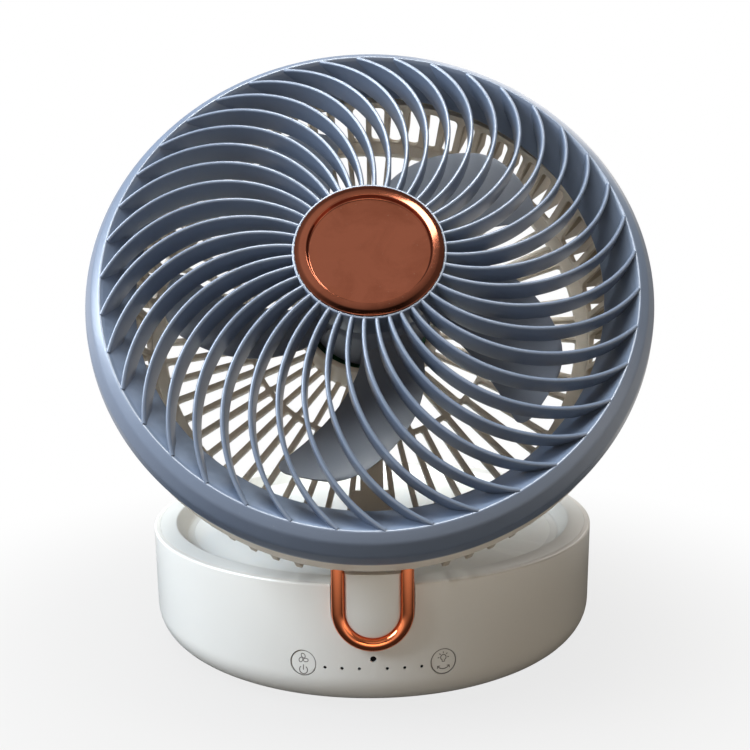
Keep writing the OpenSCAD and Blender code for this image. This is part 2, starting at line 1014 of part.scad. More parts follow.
module front_grille() {
    color(grey_blue)
        in_head() {
            rotate_extrude($fn = fine)
                polygon([[lip_r - 0.7, -0.5], [lip_r + 0.5, 0], [ring_r - 4.8, -2.4], [ring_r - 1.4, -6.6],
                    [ring_r, -12], [ring_r, ring_back], [ring_r - ring_wall, ring_back],
                    [ring_r - ring_wall, -12.4], [ring_r - ring_wall - 2, -7],
                    [lip_r + 0.4, -ring_wall - 1], [band_r + 2, band_z - 1], [band_r, band_z]]);
            difference() {
                ring_of(screw_count, ring_screw_r, ring_screw_a)
                    rod(2.6, -13.3, ring_inside_z(ring_screw_r) + 0.2);
                ring_of(screw_count, ring_screw_r, ring_screw_a)
                    rod(1, -14, -6, $fn = 32);
            }
            intersection() {
                translate([0, 0, -20])
                    linear_extrude(height = 40)
                        vane_plan();
                rotate_extrude($fn = fine)
                    polygon(vane_lens);
            }
            rotate_extrude($fn = fine)
                polygon([[0, 0], [hub_ring_r - 2, 0], [hub_ring_r - 2, -2], [hub_ring_r, -2],
                    [hub_ring_r, 9.9], [hub_ring_r - 0.3, 10.2], [cap_r + 0.15, 10.2], [cap_r + 0.15, 9],
                    [hub_ring_r - 2, 9], [hub_ring_r - 2, 2.5], [0, 2.5]]);
        }
}

// Plan of all the vanes: each is a strip along one arc.
module vane_plan() {
    steps = 12;
    strip = concat(arc(vane_arc_pos, vane_arc_r + vane_t / 2, vane_from, vane_to, steps),
        arc(vane_arc_pos, vane_arc_r - vane_t / 2, vane_to, vane_from, steps));
    for (i = [0 : vane_count - 1])
        rotate(i * 360 / vane_count)
            polygon(strip);
}

module grille_cap() {
    color(copper)
        in_head()
            rotate_extrude($fn = fine)
                polygon([[0, 8], [22.6, 8], [22.6, 2.5], [24.6, 2.5], [24.6, 9.05], [cap_r, 9.05],
                    [cap_r, 10.1], [cap_r - 0.3, 10.4], [cap_recess_r + 1.6, 11.4], [cap_recess_r + 0.5, 11.5],
                    [cap_recess_r, 11.2], [cap_recess_r - 0.2, 9.9], [cap_recess_r - 0.7, 9.4], [0, 9.4]]);
}

module grille_screws() {
    color(steel)
        in_head()
            ring_of(screw_count, ring_screw_r, ring_screw_a) {
                rod(1, flange_back, -7, $fn = 32);
                rod(ring_screw_head_r, flange_back - 1.4, flange_back, $fn = 32);
            }
}

foot_pad();
foot_disc();
pivot_post();
thrust_washer();
sun_gear();
retaining_washer();
pivot_screw();
base_shell();
top_cover();
lamp_diffuser();
lamp_board();
lamp_chips();
cover_screws();
hinge_arm();
arm_trim();
arm_screws();
hinge_pin();
friction_washers();
main_board();
tact_switches();
indicator_pipes();
receiver_window();
battery_cells();
battery_tray();
charge_port();
port_board();
swing_motor();
drive_shaft();
drive_gear();
power_button();
light_button();
rear_shroud();
motor_cover();
motor_board();
bearing_tube();
rear_bearing();
front_bearing();
motor_stator();
motor_windings();
front_grille();
grille_cap();
grille_screws();
rotor_can();
magnet_ring();
motor_shaft();
impeller();
impeller_nut();
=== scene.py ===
# %% [markdown]
# # A folding camping fan, dressed piece by piece
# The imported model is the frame: its bodies carry every piece, and its joints say where the head
# and the impeller turn. Each step below builds one piece or one finish and puts it on its body.
# The work is in real units: shapes are drawn in millimetres, because a maker's drawing is, and
# they are stored in metres, because Blender and the frame are.

# %% Load the frame
import json
import math

import bmesh
import bpy
import numpy as np
from mathutils import Matrix, Vector
from mathutils.bvhtree import BVHTree
from mathutils.interpolate import poly_3d_calc


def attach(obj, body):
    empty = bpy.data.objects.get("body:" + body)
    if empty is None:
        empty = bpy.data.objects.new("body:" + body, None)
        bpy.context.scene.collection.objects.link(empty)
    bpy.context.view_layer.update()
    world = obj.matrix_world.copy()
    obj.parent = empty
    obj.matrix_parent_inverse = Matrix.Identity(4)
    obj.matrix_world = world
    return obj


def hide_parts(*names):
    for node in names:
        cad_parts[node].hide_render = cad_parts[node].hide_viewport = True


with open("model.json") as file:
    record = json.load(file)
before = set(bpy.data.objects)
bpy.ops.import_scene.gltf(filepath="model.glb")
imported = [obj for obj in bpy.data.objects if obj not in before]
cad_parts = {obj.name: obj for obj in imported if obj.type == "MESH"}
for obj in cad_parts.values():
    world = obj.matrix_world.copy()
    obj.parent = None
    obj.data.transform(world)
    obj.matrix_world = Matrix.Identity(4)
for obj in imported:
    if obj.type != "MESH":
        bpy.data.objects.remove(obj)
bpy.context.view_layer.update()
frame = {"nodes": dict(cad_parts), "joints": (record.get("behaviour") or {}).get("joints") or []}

# %% [markdown]
# ## Where things are
# The head leans back, so its round pieces are easiest to draw in a frame of their own: X to the
# right, Y up the head and Z out of its face, with the origin in the middle of the lip. The
# impeller's joint sits at just that point and turns about that Z, so it gives the whole frame.
# The base's pieces are drawn upright, straight in the model's frame.

# %% The head's own frame, read from the impeller's joint
MM = 0.001
joints = {joint["name"]: joint for joint in frame["joints"]}
head_origin = Vector(joints["impeller_spin"]["pos_m"])
head_out = Vector(joints["impeller_spin"]["axis"]).normalized()
head_right = Vector((1, 0, 0))
head_up = head_out.cross(head_right)


def facing(at, right, up, out):
    """The matrix of a frame of three axes at a place."""
    return Matrix.Translation(at) @ Matrix((right, up, out)).transposed().to_4x4()


HEAD = facing(head_origin, head_right, head_up, head_out)
UPRIGHT = Matrix.Identity(4)
print("head leans", round(math.degrees(math.asin(head_out.z)), 1), "degrees")

# %% [markdown]
# ## The camera
# The camera stands low and close in front of the fan and looks slightly down, so the base's rim
# shows as a flat ellipse under the head. It comes first, because it decides which details count.

# %% Place the camera
CAMERA_AT = Vector((0.70, -383.96, 159.70)) * MM
CAMERA_DOWN = math.radians(6.57)
CAMERA_YAW = math.radians(-0.17)
CAMERA_ROLL = -0.009

turn = Matrix.Rotation(CAMERA_YAW, 3, "Z") @ Matrix.Rotation(-CAMERA_DOWN, 3, "X")
right, ahead, above = (turn.col[i] for i in range(3))
image_right = right * math.cos(CAMERA_ROLL) + above * math.sin(CAMERA_ROLL)
image_up = above * math.cos(CAMERA_ROLL) - right * math.sin(CAMERA_ROLL)
lens = bpy.data.cameras.new("camera")
lens.sensor_width = 36
lens.lens = 39.04
lens.clip_start = 0.01
camera = bpy.data.objects.new("camera", lens)
camera.matrix_world = facing(CAMERA_AT, image_right, image_up, -ahead)
bpy.context.scene.collection.objects.link(camera)
bpy.context.scene.camera = camera
print("camera", [round(value, 3) for value in CAMERA_AT])

# %% [markdown]
# ## Drawing tools
# Nearly every piece of this fan is one of three shapes: a section turned round an axis, a section
# swept along a line, or a sheet with a row of openings. Moulded plastic has no sharp corners, so
# the tools round each corner of a section as it is drawn. That gives clean, even edges, which a
# bevel on the finished mesh would not, and the mesh stays light.

# %% Round the corners of a section
def rounded(corners, closed=True, steps=5):
    """Corners (x, y, radius) of an outline, as points with each corner turned into an arc."""
    points = []
    for i, (x, y, radius) in enumerate(corners):
        here = Vector((x, y))
        before = Vector(corners[i - 1][:2]) - here
        after = Vector(corners[(i + 1) % len(corners)][:2]) - here
        ends_line = not closed and i in (0, len(corners) - 1)
        angle = 0 if ends_line or radius <= 0 else before.angle(after)
        if angle == 0 or angle > math.pi - 0.03:
            points.append(here)
            continue
        reach = min(radius / math.tan(angle / 2), 0.48 * before.length, 0.48 * after.length)
        radius = reach * math.tan(angle / 2)
        middle = (before.normalized() + after.normalized()).normalized()
        centre = here + middle * (radius / math.sin(angle / 2))
        start = here + before.normalized() * reach - centre
        end = here + after.normalized() * reach - centre
        sweep = start.angle_signed(end)
        for k in range(steps + 1):
            a = -sweep * k / steps
            spoke = Vector((start.x * math.cos(a) - start.y * math.sin(a),
                            start.x * math.sin(a) + start.y * math.cos(a)))
            points.append(centre + spoke)
    return [(p.x, p.y) for p in points]


print("a rounded square has", len(rounded([(0, 0, 1), (4, 0, 1), (4, 4, 1), (0, 4, 1)])), "points")

# %% Turn a section round the Z axis, or sweep rings of points into a skin
def polar(radius, angle):
    """The point at a radius and an angle in radians."""
    return radius * math.cos(angle), radius * math.sin(angle)


def skin(rings, closed_rings=True, closed_row=False, caps=True):
    """Joins equal rings of points into one skin: the vertices and faces."""
    count = len(rings[0])
    verts = [tuple(p) for ring in rings for p in ring]
    faces = []
    for i in range(len(rings) if closed_row else len(rings) - 1):
        one, two = i * count, (i + 1) % len(rings) * count
        for j in range(count if closed_rings else count - 1):
            k = (j + 1) % count
            faces.append((one + j, one + k, two + k, two + j))
    if caps and not closed_row:
        faces.append(tuple(range(count))[::-1])
        faces.append(tuple(range((len(rings) - 1) * count, len(rings) * count)))
    return verts, faces


def turned(section, segments=192):
    """A closed section of (radius, z) points, turned round Z."""
    angles = (2 * math.pi * i / segments for i in range(segments))
    return skin([[(*polar(r, a), z) for r, z in section] for a in angles], closed_row=True)


def placed(shape, matrix):
    """A shape moved by a matrix whose lengths are in millimetres."""
    return [tuple(matrix @ Vector(v)) for v in shape[0]], shape[1]


def joined(*shapes):
    """Several shapes as one."""
    verts, faces = [], []
    for more, rows in shapes:
        faces += [tuple(i + len(verts) for i in row) for row in rows]
        verts += more
    return verts, faces


def ring_of(shape, count, first=0.0):
    """Copies of a shape round Z."""
    turns = (Matrix.Rotation(math.radians(first + 360 * i / count), 4, "Z") for i in range(count))
    return joined(*(placed(shape, turn) for turn in turns))


print("a turned washer has", len(turned([(4, 0), (8, 0), (8, 1), (4, 1)])[0]), "vertices")

# %% Blocks with rounded edges
def block(low, high, radius=0.5):
    """A box from its low corner to its high corner, with every edge rounded."""
    bm = bmesh.new()
    bmesh.ops.create_cube(bm, size=1)
    low, high = Vector(low), Vector(high)
    for v in bm.verts:
        v.co = Vector(((high[i] + low[i]) / 2 + v.co[i] * (high[i] - low[i]) for i in range(3)))
    bmesh.ops.bevel(bm, geom=bm.edges[:], offset=radius, segments=3, profile=0.5, affect="EDGES")
    bm.verts.index_update()
    shape = [tuple(v.co) for v in bm.verts], [tuple(v.index for v in f.verts) for f in bm.faces]
    bm.free()
    return shape


print("a rounded block has", len(block((0, 0, 0), (2, 2, 2))[0]), "vertices")

# %% Flat plates with soft edges
def inset(outline, amount):
    """A closed outline drawn inwards by an amount. It runs anticlockwise."""
    points = []
    for i, here in enumerate(outline):
        here = Vector(here)
        one = (here - Vector(outline[i - 1])).normalized()
        two = (Vector(outline[(i + 1) % len(outline)]) - here).normalized()
        normal = Vector((-one.y - two.y, one.x + two.x))
        points.append(tuple(here + normal * amount / max(0.3, 1 + one.dot(two))))
    return points


def plate(outline, thickness, soft=0.35):
    """A plate in the (x, z) plane, as thick in y, with rounded edges all round."""
    half = thickness / 2
    rings = []
    for y, amount in ((-half, soft), (-half + 0.3 * soft, 0.3 * soft), (-half + soft, 0),
                      (half - soft, 0), (half - 0.3 * soft, 0.3 * soft), (half, soft)):
        rings.append([(x, y, z) for x, z in inset(outline, amount)])
    return skin(rings)


print("a plate has", len(plate([(0, 0), (4, 0), (4, 4), (0, 4)], 2)[0]), "vertices")

# %% [markdown]
# A shape becomes a piece when it gets a mesh, a finish and a body to ride on. Its CAD twin is then
# hidden. Smooth shading with sharp edges by angle is right for moulded parts: fillets flow and
# real corners stay crisp.

# %% Make a piece of a shape
WELD = 2e-7  # metres: points closer than this are one
SHARP = 34  # degrees: a steeper edge is shaded as a corner


def to_object(name, shape, place):
    """A shape in millimetres as an object in metres, with its seams welded."""
    mesh = bpy.data.meshes.new(name)
    mesh.from_pydata([Vector(v) * MM for v in shape[0]], [], shape[1])
    bm = bmesh.new()
    bm.from_mesh(mesh)
    bmesh.ops.remove_doubles(bm, verts=bm.verts, dist=WELD)
    bmesh.ops.recalc_face_normals(bm, faces=bm.faces)
    bm.to_mesh(mesh)
    bm.free()
    made = bpy.data.objects.new(name, mesh)
    bpy.context.scene.collection.objects.link(made)
    made.matrix_world = place
    return made


def shade(mesh, sharp=SHARP):
    """Smooth shading with corners kept."""
    mesh.shade_smooth()
    mesh.set_sharp_from_angle(angle=math.radians(sharp))


def piece(name, body, shape, finish, cad_node=None, sharp=SHARP):
    """Adds a shape to the scene, riding on a body of the frame in place of a CAD node."""
    made = to_object(name, shape, HEAD if body in ("head", "rotor") else UPRIGHT)
    mesh = made.data
    shade(mesh, sharp)
    mesh.materials.append(finish)
    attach(made, body)
    if cad_node:
        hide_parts(cad_node)
    print(f"{name}: {len(mesh.vertices)} vertices on {body}")
    return made


# %% [markdown]
# Holes in a turned part are cut with a boolean. The faces that it leaves round a hole are flat,
# and would glint on a glossy wall, so after the cut each corner on the old skin takes its normal
# from the uncut part.

# %% Cut holes and keep the skin's shading
ON_SKIN = 2e-5  # metres: a corner this close to the uncut part lies on its skin
SAME_WAY = 0.9  # cosine: a face turned further away than this is the hole's own wall


def cut(target, cutters):
    """Cuts shapes out of a piece and gives the old skin its old normals back."""
    clean = target.data.copy()
    tree = BVHTree.FromPolygons([v.co for v in clean.vertices],
                                [polygon.vertices for polygon in clean.polygons])
    for shape in cutters:
        tool = to_object("cutter", shape, target.matrix_world)
        modifier = target.modifiers.new("cut", "BOOLEAN")
        modifier.object = tool
        modifier.solver = "EXACT"
        bpy.context.view_layer.update()
        now = bpy.context.evaluated_depsgraph_get()
        result = bpy.data.meshes.new_from_object(target.evaluated_get(now))
        target.modifiers.clear()
        used = target.data, tool.data
        target.data = result
        bpy.data.objects.remove(tool)
        for mesh in used:
            bpy.data.meshes.remove(mesh)
    mesh = target.data
    shade(mesh)
    normals = [Vector(corner.vector) for corner in mesh.corner_normals]
    skin_normals = [Vector(corner.vector) for corner in clean.corner_normals]
    for polygon in mesh.polygons:
        for corner in polygon.loop_indices:
            here = mesh.vertices[mesh.loops[corner].vertex_index].co
            inside = here.lerp(polygon.center, 0.01)
            spot, normal, index, distance = tree.find_nearest(inside)
            if index is None or distance > ON_SKIN or normal.dot(polygon.normal) < SAME_WAY:
                continue
            under = clean.polygons[index]
            weights = poly_3d_calc([clean.vertices[v].co for v in under.vertices], spot)
            shares = zip(under.loop_indices, weights)
            blend = sum((skin_normals[i] * share for i, share in shares), Vector())
            normals[corner] = blend.normalized()
    mesh.normals_split_custom_set([tuple(n) for n in normals])
    bpy.data.meshes.remove(clean)
    mesh.name = target.name
    print(f"{target.name}: cut by {len(cutters)}, {len(mesh.vertices)} vertices")


# %% [markdown]
# ## Finishes
# A moulded part is never one flat colour: the tool leaves a fine grain, the pigment drifts a
# little and fingers leave dull patches; on top of that, corners get a painted highlight and hollows
# painted shade. These effects are shared by many finishes, so each is built once as a node group
# and placed in a material with its own values. The shader itself stays in the material.

# %% Node helpers
def srgb(red, green, blue):
    """A screen colour, 0 to 255, as the linear colour that a shader takes."""
    screen = (c / 255 for c in (red, green, blue))
    return (*(((c + 0.055) / 1.055) ** 2.4 if c > 0.04 else c / 12.92 for c in screen), 1.0)


def fill(tree, target, inputs):
    """Gives a node its inputs, each a value or another node's socket."""
    for name, value in inputs.items():
        if isinstance(value, bpy.types.NodeSocket):
            tree.links.new(value, target.inputs[name])
        else:
            target.inputs[name].default_value = value


def node(tree, kind, inputs=None, **settings):
    """Adds a node with its inputs and settings."""
    made = tree.nodes.new("ShaderNode" + kind)
    for name, value in settings.items():
        setattr(made, name, value)
    fill(tree, made, inputs or {})
    return made


def calc(tree, operation, one, two):
    """A Math node's result."""
    return node(tree, "Math", {0: one, 1: two}, operation=operation).outputs[0]


def times(tree, one, two):
    """Two values multiplied."""
    return calc(tree, "MULTIPLY", one, two)


def remap(tree, value, low, high, to_low=0.0, to_high=1.0, smooth=False):
    """A value mapped from one range to another, held at the ends."""
    ends = {"From Min": low, "From Max": high, "To Min": to_low, "To Max": to_high}
    kind = "SMOOTHSTEP" if smooth else "LINEAR"
    return node(tree, "MapRange", {"Value": value, **ends}, interpolation_type=kind).outputs[0]


def noise(tree, vector, scale, **more):
    """A noise texture's value. Other inputs are named in small letters."""
    more = {name.title(): value for name, value in more.items()}
    return node(tree, "TexNoise", {"Vector": vector, "Scale": scale, **more}).outputs["Fac"]


def effect(name, inputs, outputs):
    """A node group that takes a place and named numbers: the group, what it is given and gives."""
    group = bpy.data.node_groups.new(name, "ShaderNodeTree")
    group.interface.new_socket("Vector", in_out="INPUT", socket_type="NodeSocketVector")
    for socket, value in inputs.items():
        made = group.interface.new_socket(socket, in_out="INPUT", socket_type="NodeSocketFloat")
        made.default_value = value
    for socket in outputs:
        group.interface.new_socket(socket, in_out="OUTPUT", socket_type="NodeSocketFloat")
    start, end = (group.nodes.new("NodeGroup" + kind) for kind in ("Input", "Output"))
    return group, start.outputs, end.inputs


print("white is", srgb(255, 255, 255)[0])

# %% [markdown]
# **Moulded grain** is what a spark-eroded tool leaves: tiny even pits, well under a millimetre.
# Noise gives the pits, and a second, slow noise gives the pigment's drift.

# %% Effect: moulded grain
grain, given, gives = effect("moulded grain", {"Pits per mm": 1.5, "Drift per m": 14.0},
                             ["Height", "Drift"])
per_metre = times(grain, given["Pits per mm"], 1 / MM)
pits = noise(grain, given["Vector"], per_metre, detail=2.0, roughness=0.6)
drift = noise(grain, given["Vector"], given["Drift per m"], detail=3.0)
grain.links.new(pits, gives["Height"])
grain.links.new(remap(grain, drift, 0.32, 0.68), gives["Drift"])
print("made the effect", grain.name)

# %% [markdown]
# **Handling** is a mask for dull patches: skin grease and dust lie in soft clouds with small
# specks in them. Clouds and specks come from two textures and leave the group apart, so that
# the specks stay crisp.

# %% Effect: handling
handling, given, gives = effect(
    "handling", {"Clouds per m": 30.0, "Specks per mm": 0.35, "Speck size": 0.09},
    ["Clouds", "Specks"])
cloud = noise(handling, given["Vector"], given["Clouds per m"], detail=5.0, roughness=0.62,
              distortion=0.6)
cloud_mask = remap(handling, cloud, 0.45, 0.72)
per_metre = times(handling, given["Specks per mm"], 1 / MM)
cells = node(handling, "TexVoronoi", {
    "Vector": given["Vector"], "Scale": per_metre, "Randomness": 1.0}).outputs["Distance"]
core = times(handling, given["Speck size"], 0.45)
specks = remap(handling, cells, given["Speck size"], core)
handling.links.new(cloud_mask, gives["Clouds"])
handling.links.new(times(handling, specks, cloud_mask), gives["Specks"])
print("made the effect", handling.name)

# %% [markdown]
# **Hairlines** are the fine scratches that show on anything plated. Noise stretched a hundred
# times along one direction makes them, and two directions crossed look like wiping.

# %% Effect: hairlines
hairlines, given, gives = effect("hairlines", {"Lines per mm": 3.0}, ["Height", "Mask"])
per_metre = times(hairlines, given["Lines per mm"], 1 / MM)
layers = []
for tilt in (0.5, -0.9):
    wiped = node(hairlines, "Mapping", {
        "Vector": given["Vector"], "Rotation": (0.3, 0.2, tilt), "Scale": (0.012, 1.0, 1.0)})
    lines = noise(hairlines, wiped.outputs["Vector"], per_metre, detail=1.0)
    layers.append(remap(hairlines, lines, 0.62, 0.78))
both = calc(hairlines, "MAXIMUM", *layers)
hairlines.links.new(calc(hairlines, "SUBTRACT", 1.0, both), gives["Height"])
hairlines.links.new(both, gives["Mask"])
print("made the effect", hairlines.name)

# %% [markdown]
# ** Worn edge** uses the mesh's own curvature: a convex edge is painted a touch lighter, partly
# as wear and partly as a painted highlight, and a hollow one is painted darker as painted shade.
# Pointiness gives that curvature, and noise breaks it up.

# %% Effect: worn edge, with painted edge highlight and painted hollow shade
edge_wear_light_shade_group, given, gives = effect("edge wear, highlight and shade", {"Threshold": 0.53}, ["Edge", "Hollow shade"])
curve = node(edge_wear_light_shade_group, "NewGeometry").outputs["Pointiness"]
breakup = noise(edge_wear_light_shade_group, given["Vector"], 260.0, detail=3.0)
patchy = remap(edge_wear_light_shade_group, breakup, 0.3, 0.7, 0.35)
# Convex edges are painted lighter: part wear, part painted highlight.
edge = remap(edge_wear_light_shade_group, curve, given["Threshold"], calc(edge_wear_light_shade_group, "ADD", given["Threshold"], 0.08))
edge_wear_light_shade_group.links.new(times(edge_wear_light_shade_group, edge, patchy), gives["Edge"])
# Hollows are painted darker: painted shade.
edge_wear_light_shade_group.links.new(remap(edge_wear_light_shade_group, curve, 0.47, 0.40), gives["Hollow shade"])
print("made the effect", edge_wear_light_shade_group.name)

# %% [markdown]
# A moulded plastic then puts these together: its colour drifts to a second tone, lightens on
# convex edges as wear and as a painted highlight, is painted darker in hollows as painted shade,
# and dulls where hands and dust have been.

# %% Finish: moulded plastic
def use(tree, group, **values):
    """Places an effect's node group in a material, and gives what the group puts out."""
    inputs = {name.replace("_", " "): value for name, value in values.items()}
    inputs["Vector"] = node(tree, "TexCoord").outputs["Object"]
    return node(tree, "Group", inputs, node_tree=group).outputs


def blank(name):
    """A new material: its node tree and its shader."""
    material = bpy.data.materials.new(name)
    material.use_nodes = True
    return material, material.node_tree, material.node_tree.nodes["Principled BSDF"]


def mixed(tree, factor, one, two):
    """The mix of two colours."""
    return node(tree, "Mix", {0: factor, 6: one, 7: two}, data_type="RGBA").outputs[2]


DUST = srgb(205, 200, 190)
MILK = {"Subsurface Radius": (0.9, 0.75, 0.6), "Subsurface Scale": 0.0012}


def plastic(name, colour, tone, roughness=0.4, pits=1.5, depth=0.012, dull=0.12, dust=0.25,
            edge=0.2, coat=0.0, coat_roughness=0.08, specular=0.5, subsurface=0.0, drift=14.0):
    """Moulded plastic: grain, colour drift, rubbed edges with a painted highlight, hollow shade,
    dust.

    Colours are screen colours, pits are per millimetre and as deep as depth in millimetres.
    Edge paints convex edges lighter, part wear and part painted highlight; hollows get painted
    shade.
    """
    material, tree, shader = blank(name)
    grained = use(tree, grain, Pits_per_mm=pits, Drift_per_m=drift)
    handled = use(tree, handling)
    edge_wear_light_shade = use(tree, edge_wear_light_shade_group)
    colour, tone = srgb(*colour), srgb(*tone)
    # Convex edges are painted toward a paler colour, part wear and part painted highlight; hollows
    # toward a darker one, painted shade.
    rubbed_and_lit_edge_colour = (*(min(1.0, c * 1.35 + 0.02) for c in colour[:3]), 1.0)
    hollow_shade_colour = (*(c * 0.55 for c in colour[:3]), 1.0)
    base = mixed(tree, grained["Drift"], colour, tone)
    base = mixed(tree, times(tree, edge_wear_light_shade["Edge"], edge), base, rubbed_and_lit_edge_colour)
    base = mixed(tree, times(tree, edge_wear_light_shade["Hollow shade"], 0.35), base, hollow_shade_colour)
    base = mixed(tree, times(tree, handled["Specks"], dust), base, DUST)
    rough = remap(tree, handled["Clouds"], 0.0, 1.0, roughness, min(1.0, roughness + dull))
    bump = node(tree, "Bump", {
        "Height": grained["Height"], "Strength": 0.6, "Distance": depth * MM}).outputs["Normal"]
    fill(tree, shader, MILK | {
        "Base Color": base, "Roughness": rough, "Normal": bump, "Coat Weight": coat,
        "Coat Roughness": coat_roughness, "Specular IOR Level": specular,
        "Subsurface Weight": subsurface})
    return material


moulded = {"pits": 1.6, "depth": 0.014, "dull": 0.14}
polished = {"depth": 0.006, "edge": 0.10, "subsurface": 0.04, "drift": 7.0}
# A high edge value paints a strong highlight on convex edges, such as the vanes' round fronts.
grille_blue = plastic("grille_blue", (98, 109, 127), (91, 102, 120), 0.30, pits=1.8, depth=0.010,
                      edge=0.6, dust=0.2, specular=0.85)
slate_blade = plastic("slate_blade", (132, 138, 149), (123, 129, 140), pits=1.2)
shroud_cream = plastic("shroud_cream", (222, 212, 197), (214, 202, 184), 0.42, subsurface=0.05,
                       **moulded)
base_white = plastic("base_white", (226, 223, 216), (220, 216, 208), 0.30, pits=0.8, dull=0.08,
                     dust=0.04, coat=0.3, coat_roughness=0.18, **polished)
rim_white = plastic("rim_white", (219, 219, 214), (212, 211, 205), 0.32, pits=0.9, dull=0.10,
                    dust=0.08, coat=0.25, coat_roughness=0.2, **polished)
# The fins are painted a darker cream than the shroud: painted shade on the deep fins, with more
# dust specks.
fin_painted_shade = plastic("fin_painted_shade", (184, 171, 152), (170, 156, 136), 0.5, dust=0.5, **moulded)
print("made", len(bpy.data.materials), "materials")

# %% [markdown]
# The diffuser is milky: light goes in and comes out softened. Subsurface scattering does that
# and still bakes to plain maps, which real transmission would not.

# %% Finish: diffuser, rubber, smoked lenses and printed ink
diffuser_milk = plastic("diffuser_milk", (222, 222, 217), (217, 216, 209), 0.36, pits=1.0,
                        depth=0.008, dust=0.22, subsurface=0.25, drift=10.0)
foot_rubber = plastic("foot_rubber", (46, 46, 48), (38, 38, 40), 0.78, pits=2.2, depth=0.03,
                      dull=0.15, dust=0.5)
black_nylon = plastic("black_nylon", (30, 30, 33), (22, 22, 25), 0.5, pits=1.6, dust=0.3)
smoked_lens = plastic("smoked_lens", (14, 13, 14), (9, 9, 10), 0.3, pits=0.6, depth=0.002,
                      dull=0.05, dust=0.02, edge=0.0, specular=0.2)
white_nylon = plastic("white_nylon", (232, 230, 222), (222, 219, 208), 0.45)
printed_ink = plastic("printed_ink", (118, 112, 106), (104, 98, 92), 0.5, pits=3.0, depth=0.004,
                      dust=0.0, edge=0.0)
print("made", len(bpy.data.materials), "materials")

# %% [markdown]
# Plated copper is a bright mirror coat on moulded plastic, so it shows the mould's slow waviness
# under sharp reflections, with hairlines and finger marks on top. Bare metals inside use the same
# recipe with other values.

# %% Finish: metals
FINGER_MARK = srgb(228, 214, 200)
SCRATCH_DEPTH = 0.004


def metal(name, colour, tone, roughness=0.12, dull=0.2, lines=3.0, scratch=0.4, wave=0.0,
          wave_per_m=60.0, tarnish=0.3):
    """A metal with hairlines, finger marks and, where it is plated, waves of that depth."""
    material, tree, shader = blank(name)
    handled = use(tree, handling, Clouds_per_m=55.0, Specks_per_mm=0.5)
    wiped = use(tree, hairlines, Lines_per_mm=lines)
    clouds = times(tree, handled["Clouds"], tarnish)
    base = mixed(tree, clouds, srgb(*colour), srgb(*tone))
    base = mixed(tree, times(tree, handled["Specks"], 0.5), base, FINGER_MARK)
    rough = remap(tree, handled["Clouds"], 0.0, 1.0, roughness, roughness + dull)
    marks = calc(tree, "ADD", times(tree, wiped["Mask"], 0.10), rough)
    fine = node(tree, "Bump", {"Height": wiped["Height"], "Strength": scratch,
                               "Distance": SCRATCH_DEPTH * MM})
    if wave:
        slow = noise(tree, node(tree, "TexCoord").outputs["Object"], wave_per_m, detail=1.0)
        waves = node(tree, "Bump", {"Height": slow, "Strength": 1.0, "Distance": wave * MM})
        tree.links.new(waves.outputs["Normal"], fine.inputs["Normal"])
    fill(tree, shader, {"Base Color": base, "Roughness": marks, "Metallic": 1.0,
                        "Normal": fine.outputs["Normal"]})
    return material


trim_copper = metal("trim_copper", (252, 142, 94), (240, 124, 78), 0.07, dull=0.06, wave=0.02,
                    scratch=0.15, tarnish=0.25)
cap_copper = metal("cap_copper", (158, 94, 72), (134, 76, 56), 0.085, dull=0.07, wave=0.004,
                   wave_per_m=25.0, scratch=0.12, tarnish=0.8)
bright_steel = metal("bright_steel", (196, 197, 200), (170, 170, 172), 0.24, scratch=0.6)
lamination = metal("lamination", (150, 150, 152), (110, 106, 100), 0.38, lines=6.0)
bearing_bronze = metal("bearing_bronze", (196, 158, 96), (160, 122, 70), 0.35)
coil_copper = metal("coil_copper", (206, 120, 70), (168, 86, 48), 0.3, lines=8.0)
print("made", len(bpy.data.materials), "materials")

# %% [markdown]
# ## The front grille
# The grille is one blue-grey moulding: a ring with a lip, forty curved vanes and a hub. Each vane
# follows the same arc in plan, stands out furthest near the hub and dives into the lip at its
# tip. A vane's section is a thin wall with a full round on its front edge, which catches the light
# in a thin bright line; the grille's finish also paints that round edge lighter, a painted
# highlight.

# %% The ring with its lip
LIP_R = 97.0
ring_section = rounded([
    (96.1, -1.1, 0.5), (97.2, 0.15, 0.7), (101.0, -2.4, 5.0), (104.4, -6.9, 5.0),
    (105.6, -12.0, 4.0), (105.6, -13.6, 0.4), (103.2, -13.6, 0.3), (103.2, -12.4, 0.4),
    (101.0, -7.4, 2.0), (97.4, -3.8, 1.0), (89.3, -14.1, 0.5), (87.4, -13.0, 0.6)], steps=6)
RING_STEPS = 288
piece("grille_ring", "head", turned(ring_section, RING_STEPS), grille_blue, "front_grille")

# %% One vane, and its forty copies
VANE_COUNT = 40
VANE_T = 1.5
VANE_TOP = 10.2
VANE_FLAT_R = 20.0
VANE_END_R = LIP_R + 0.3
ARC_CENTRE = Vector((51.2, 30.6))
ARC_R = 52.6
ARC_RUN = (-124, -29.9)
BACK_EDGE = [(26.0, 4.4), (34.0, 2.0), (44.0, 0.3), (62.0, -0.9), (74.0, -2.6), (86.0, -5.0),
             (93.6, -6.8), (96.2, -6.9)]


def vane_front(r):
    """Height of a vane's front edge at a radius."""
    return VANE_TOP * (1 - max(0.0, (r - VANE_FLAT_R) / (VANE_END_R - VANE_FLAT_R)) ** 3.4)


def vane_back(r):
    """Height of a vane's back edge at a radius."""
    return float(np.interp(r, *zip(*BACK_EDGE)))


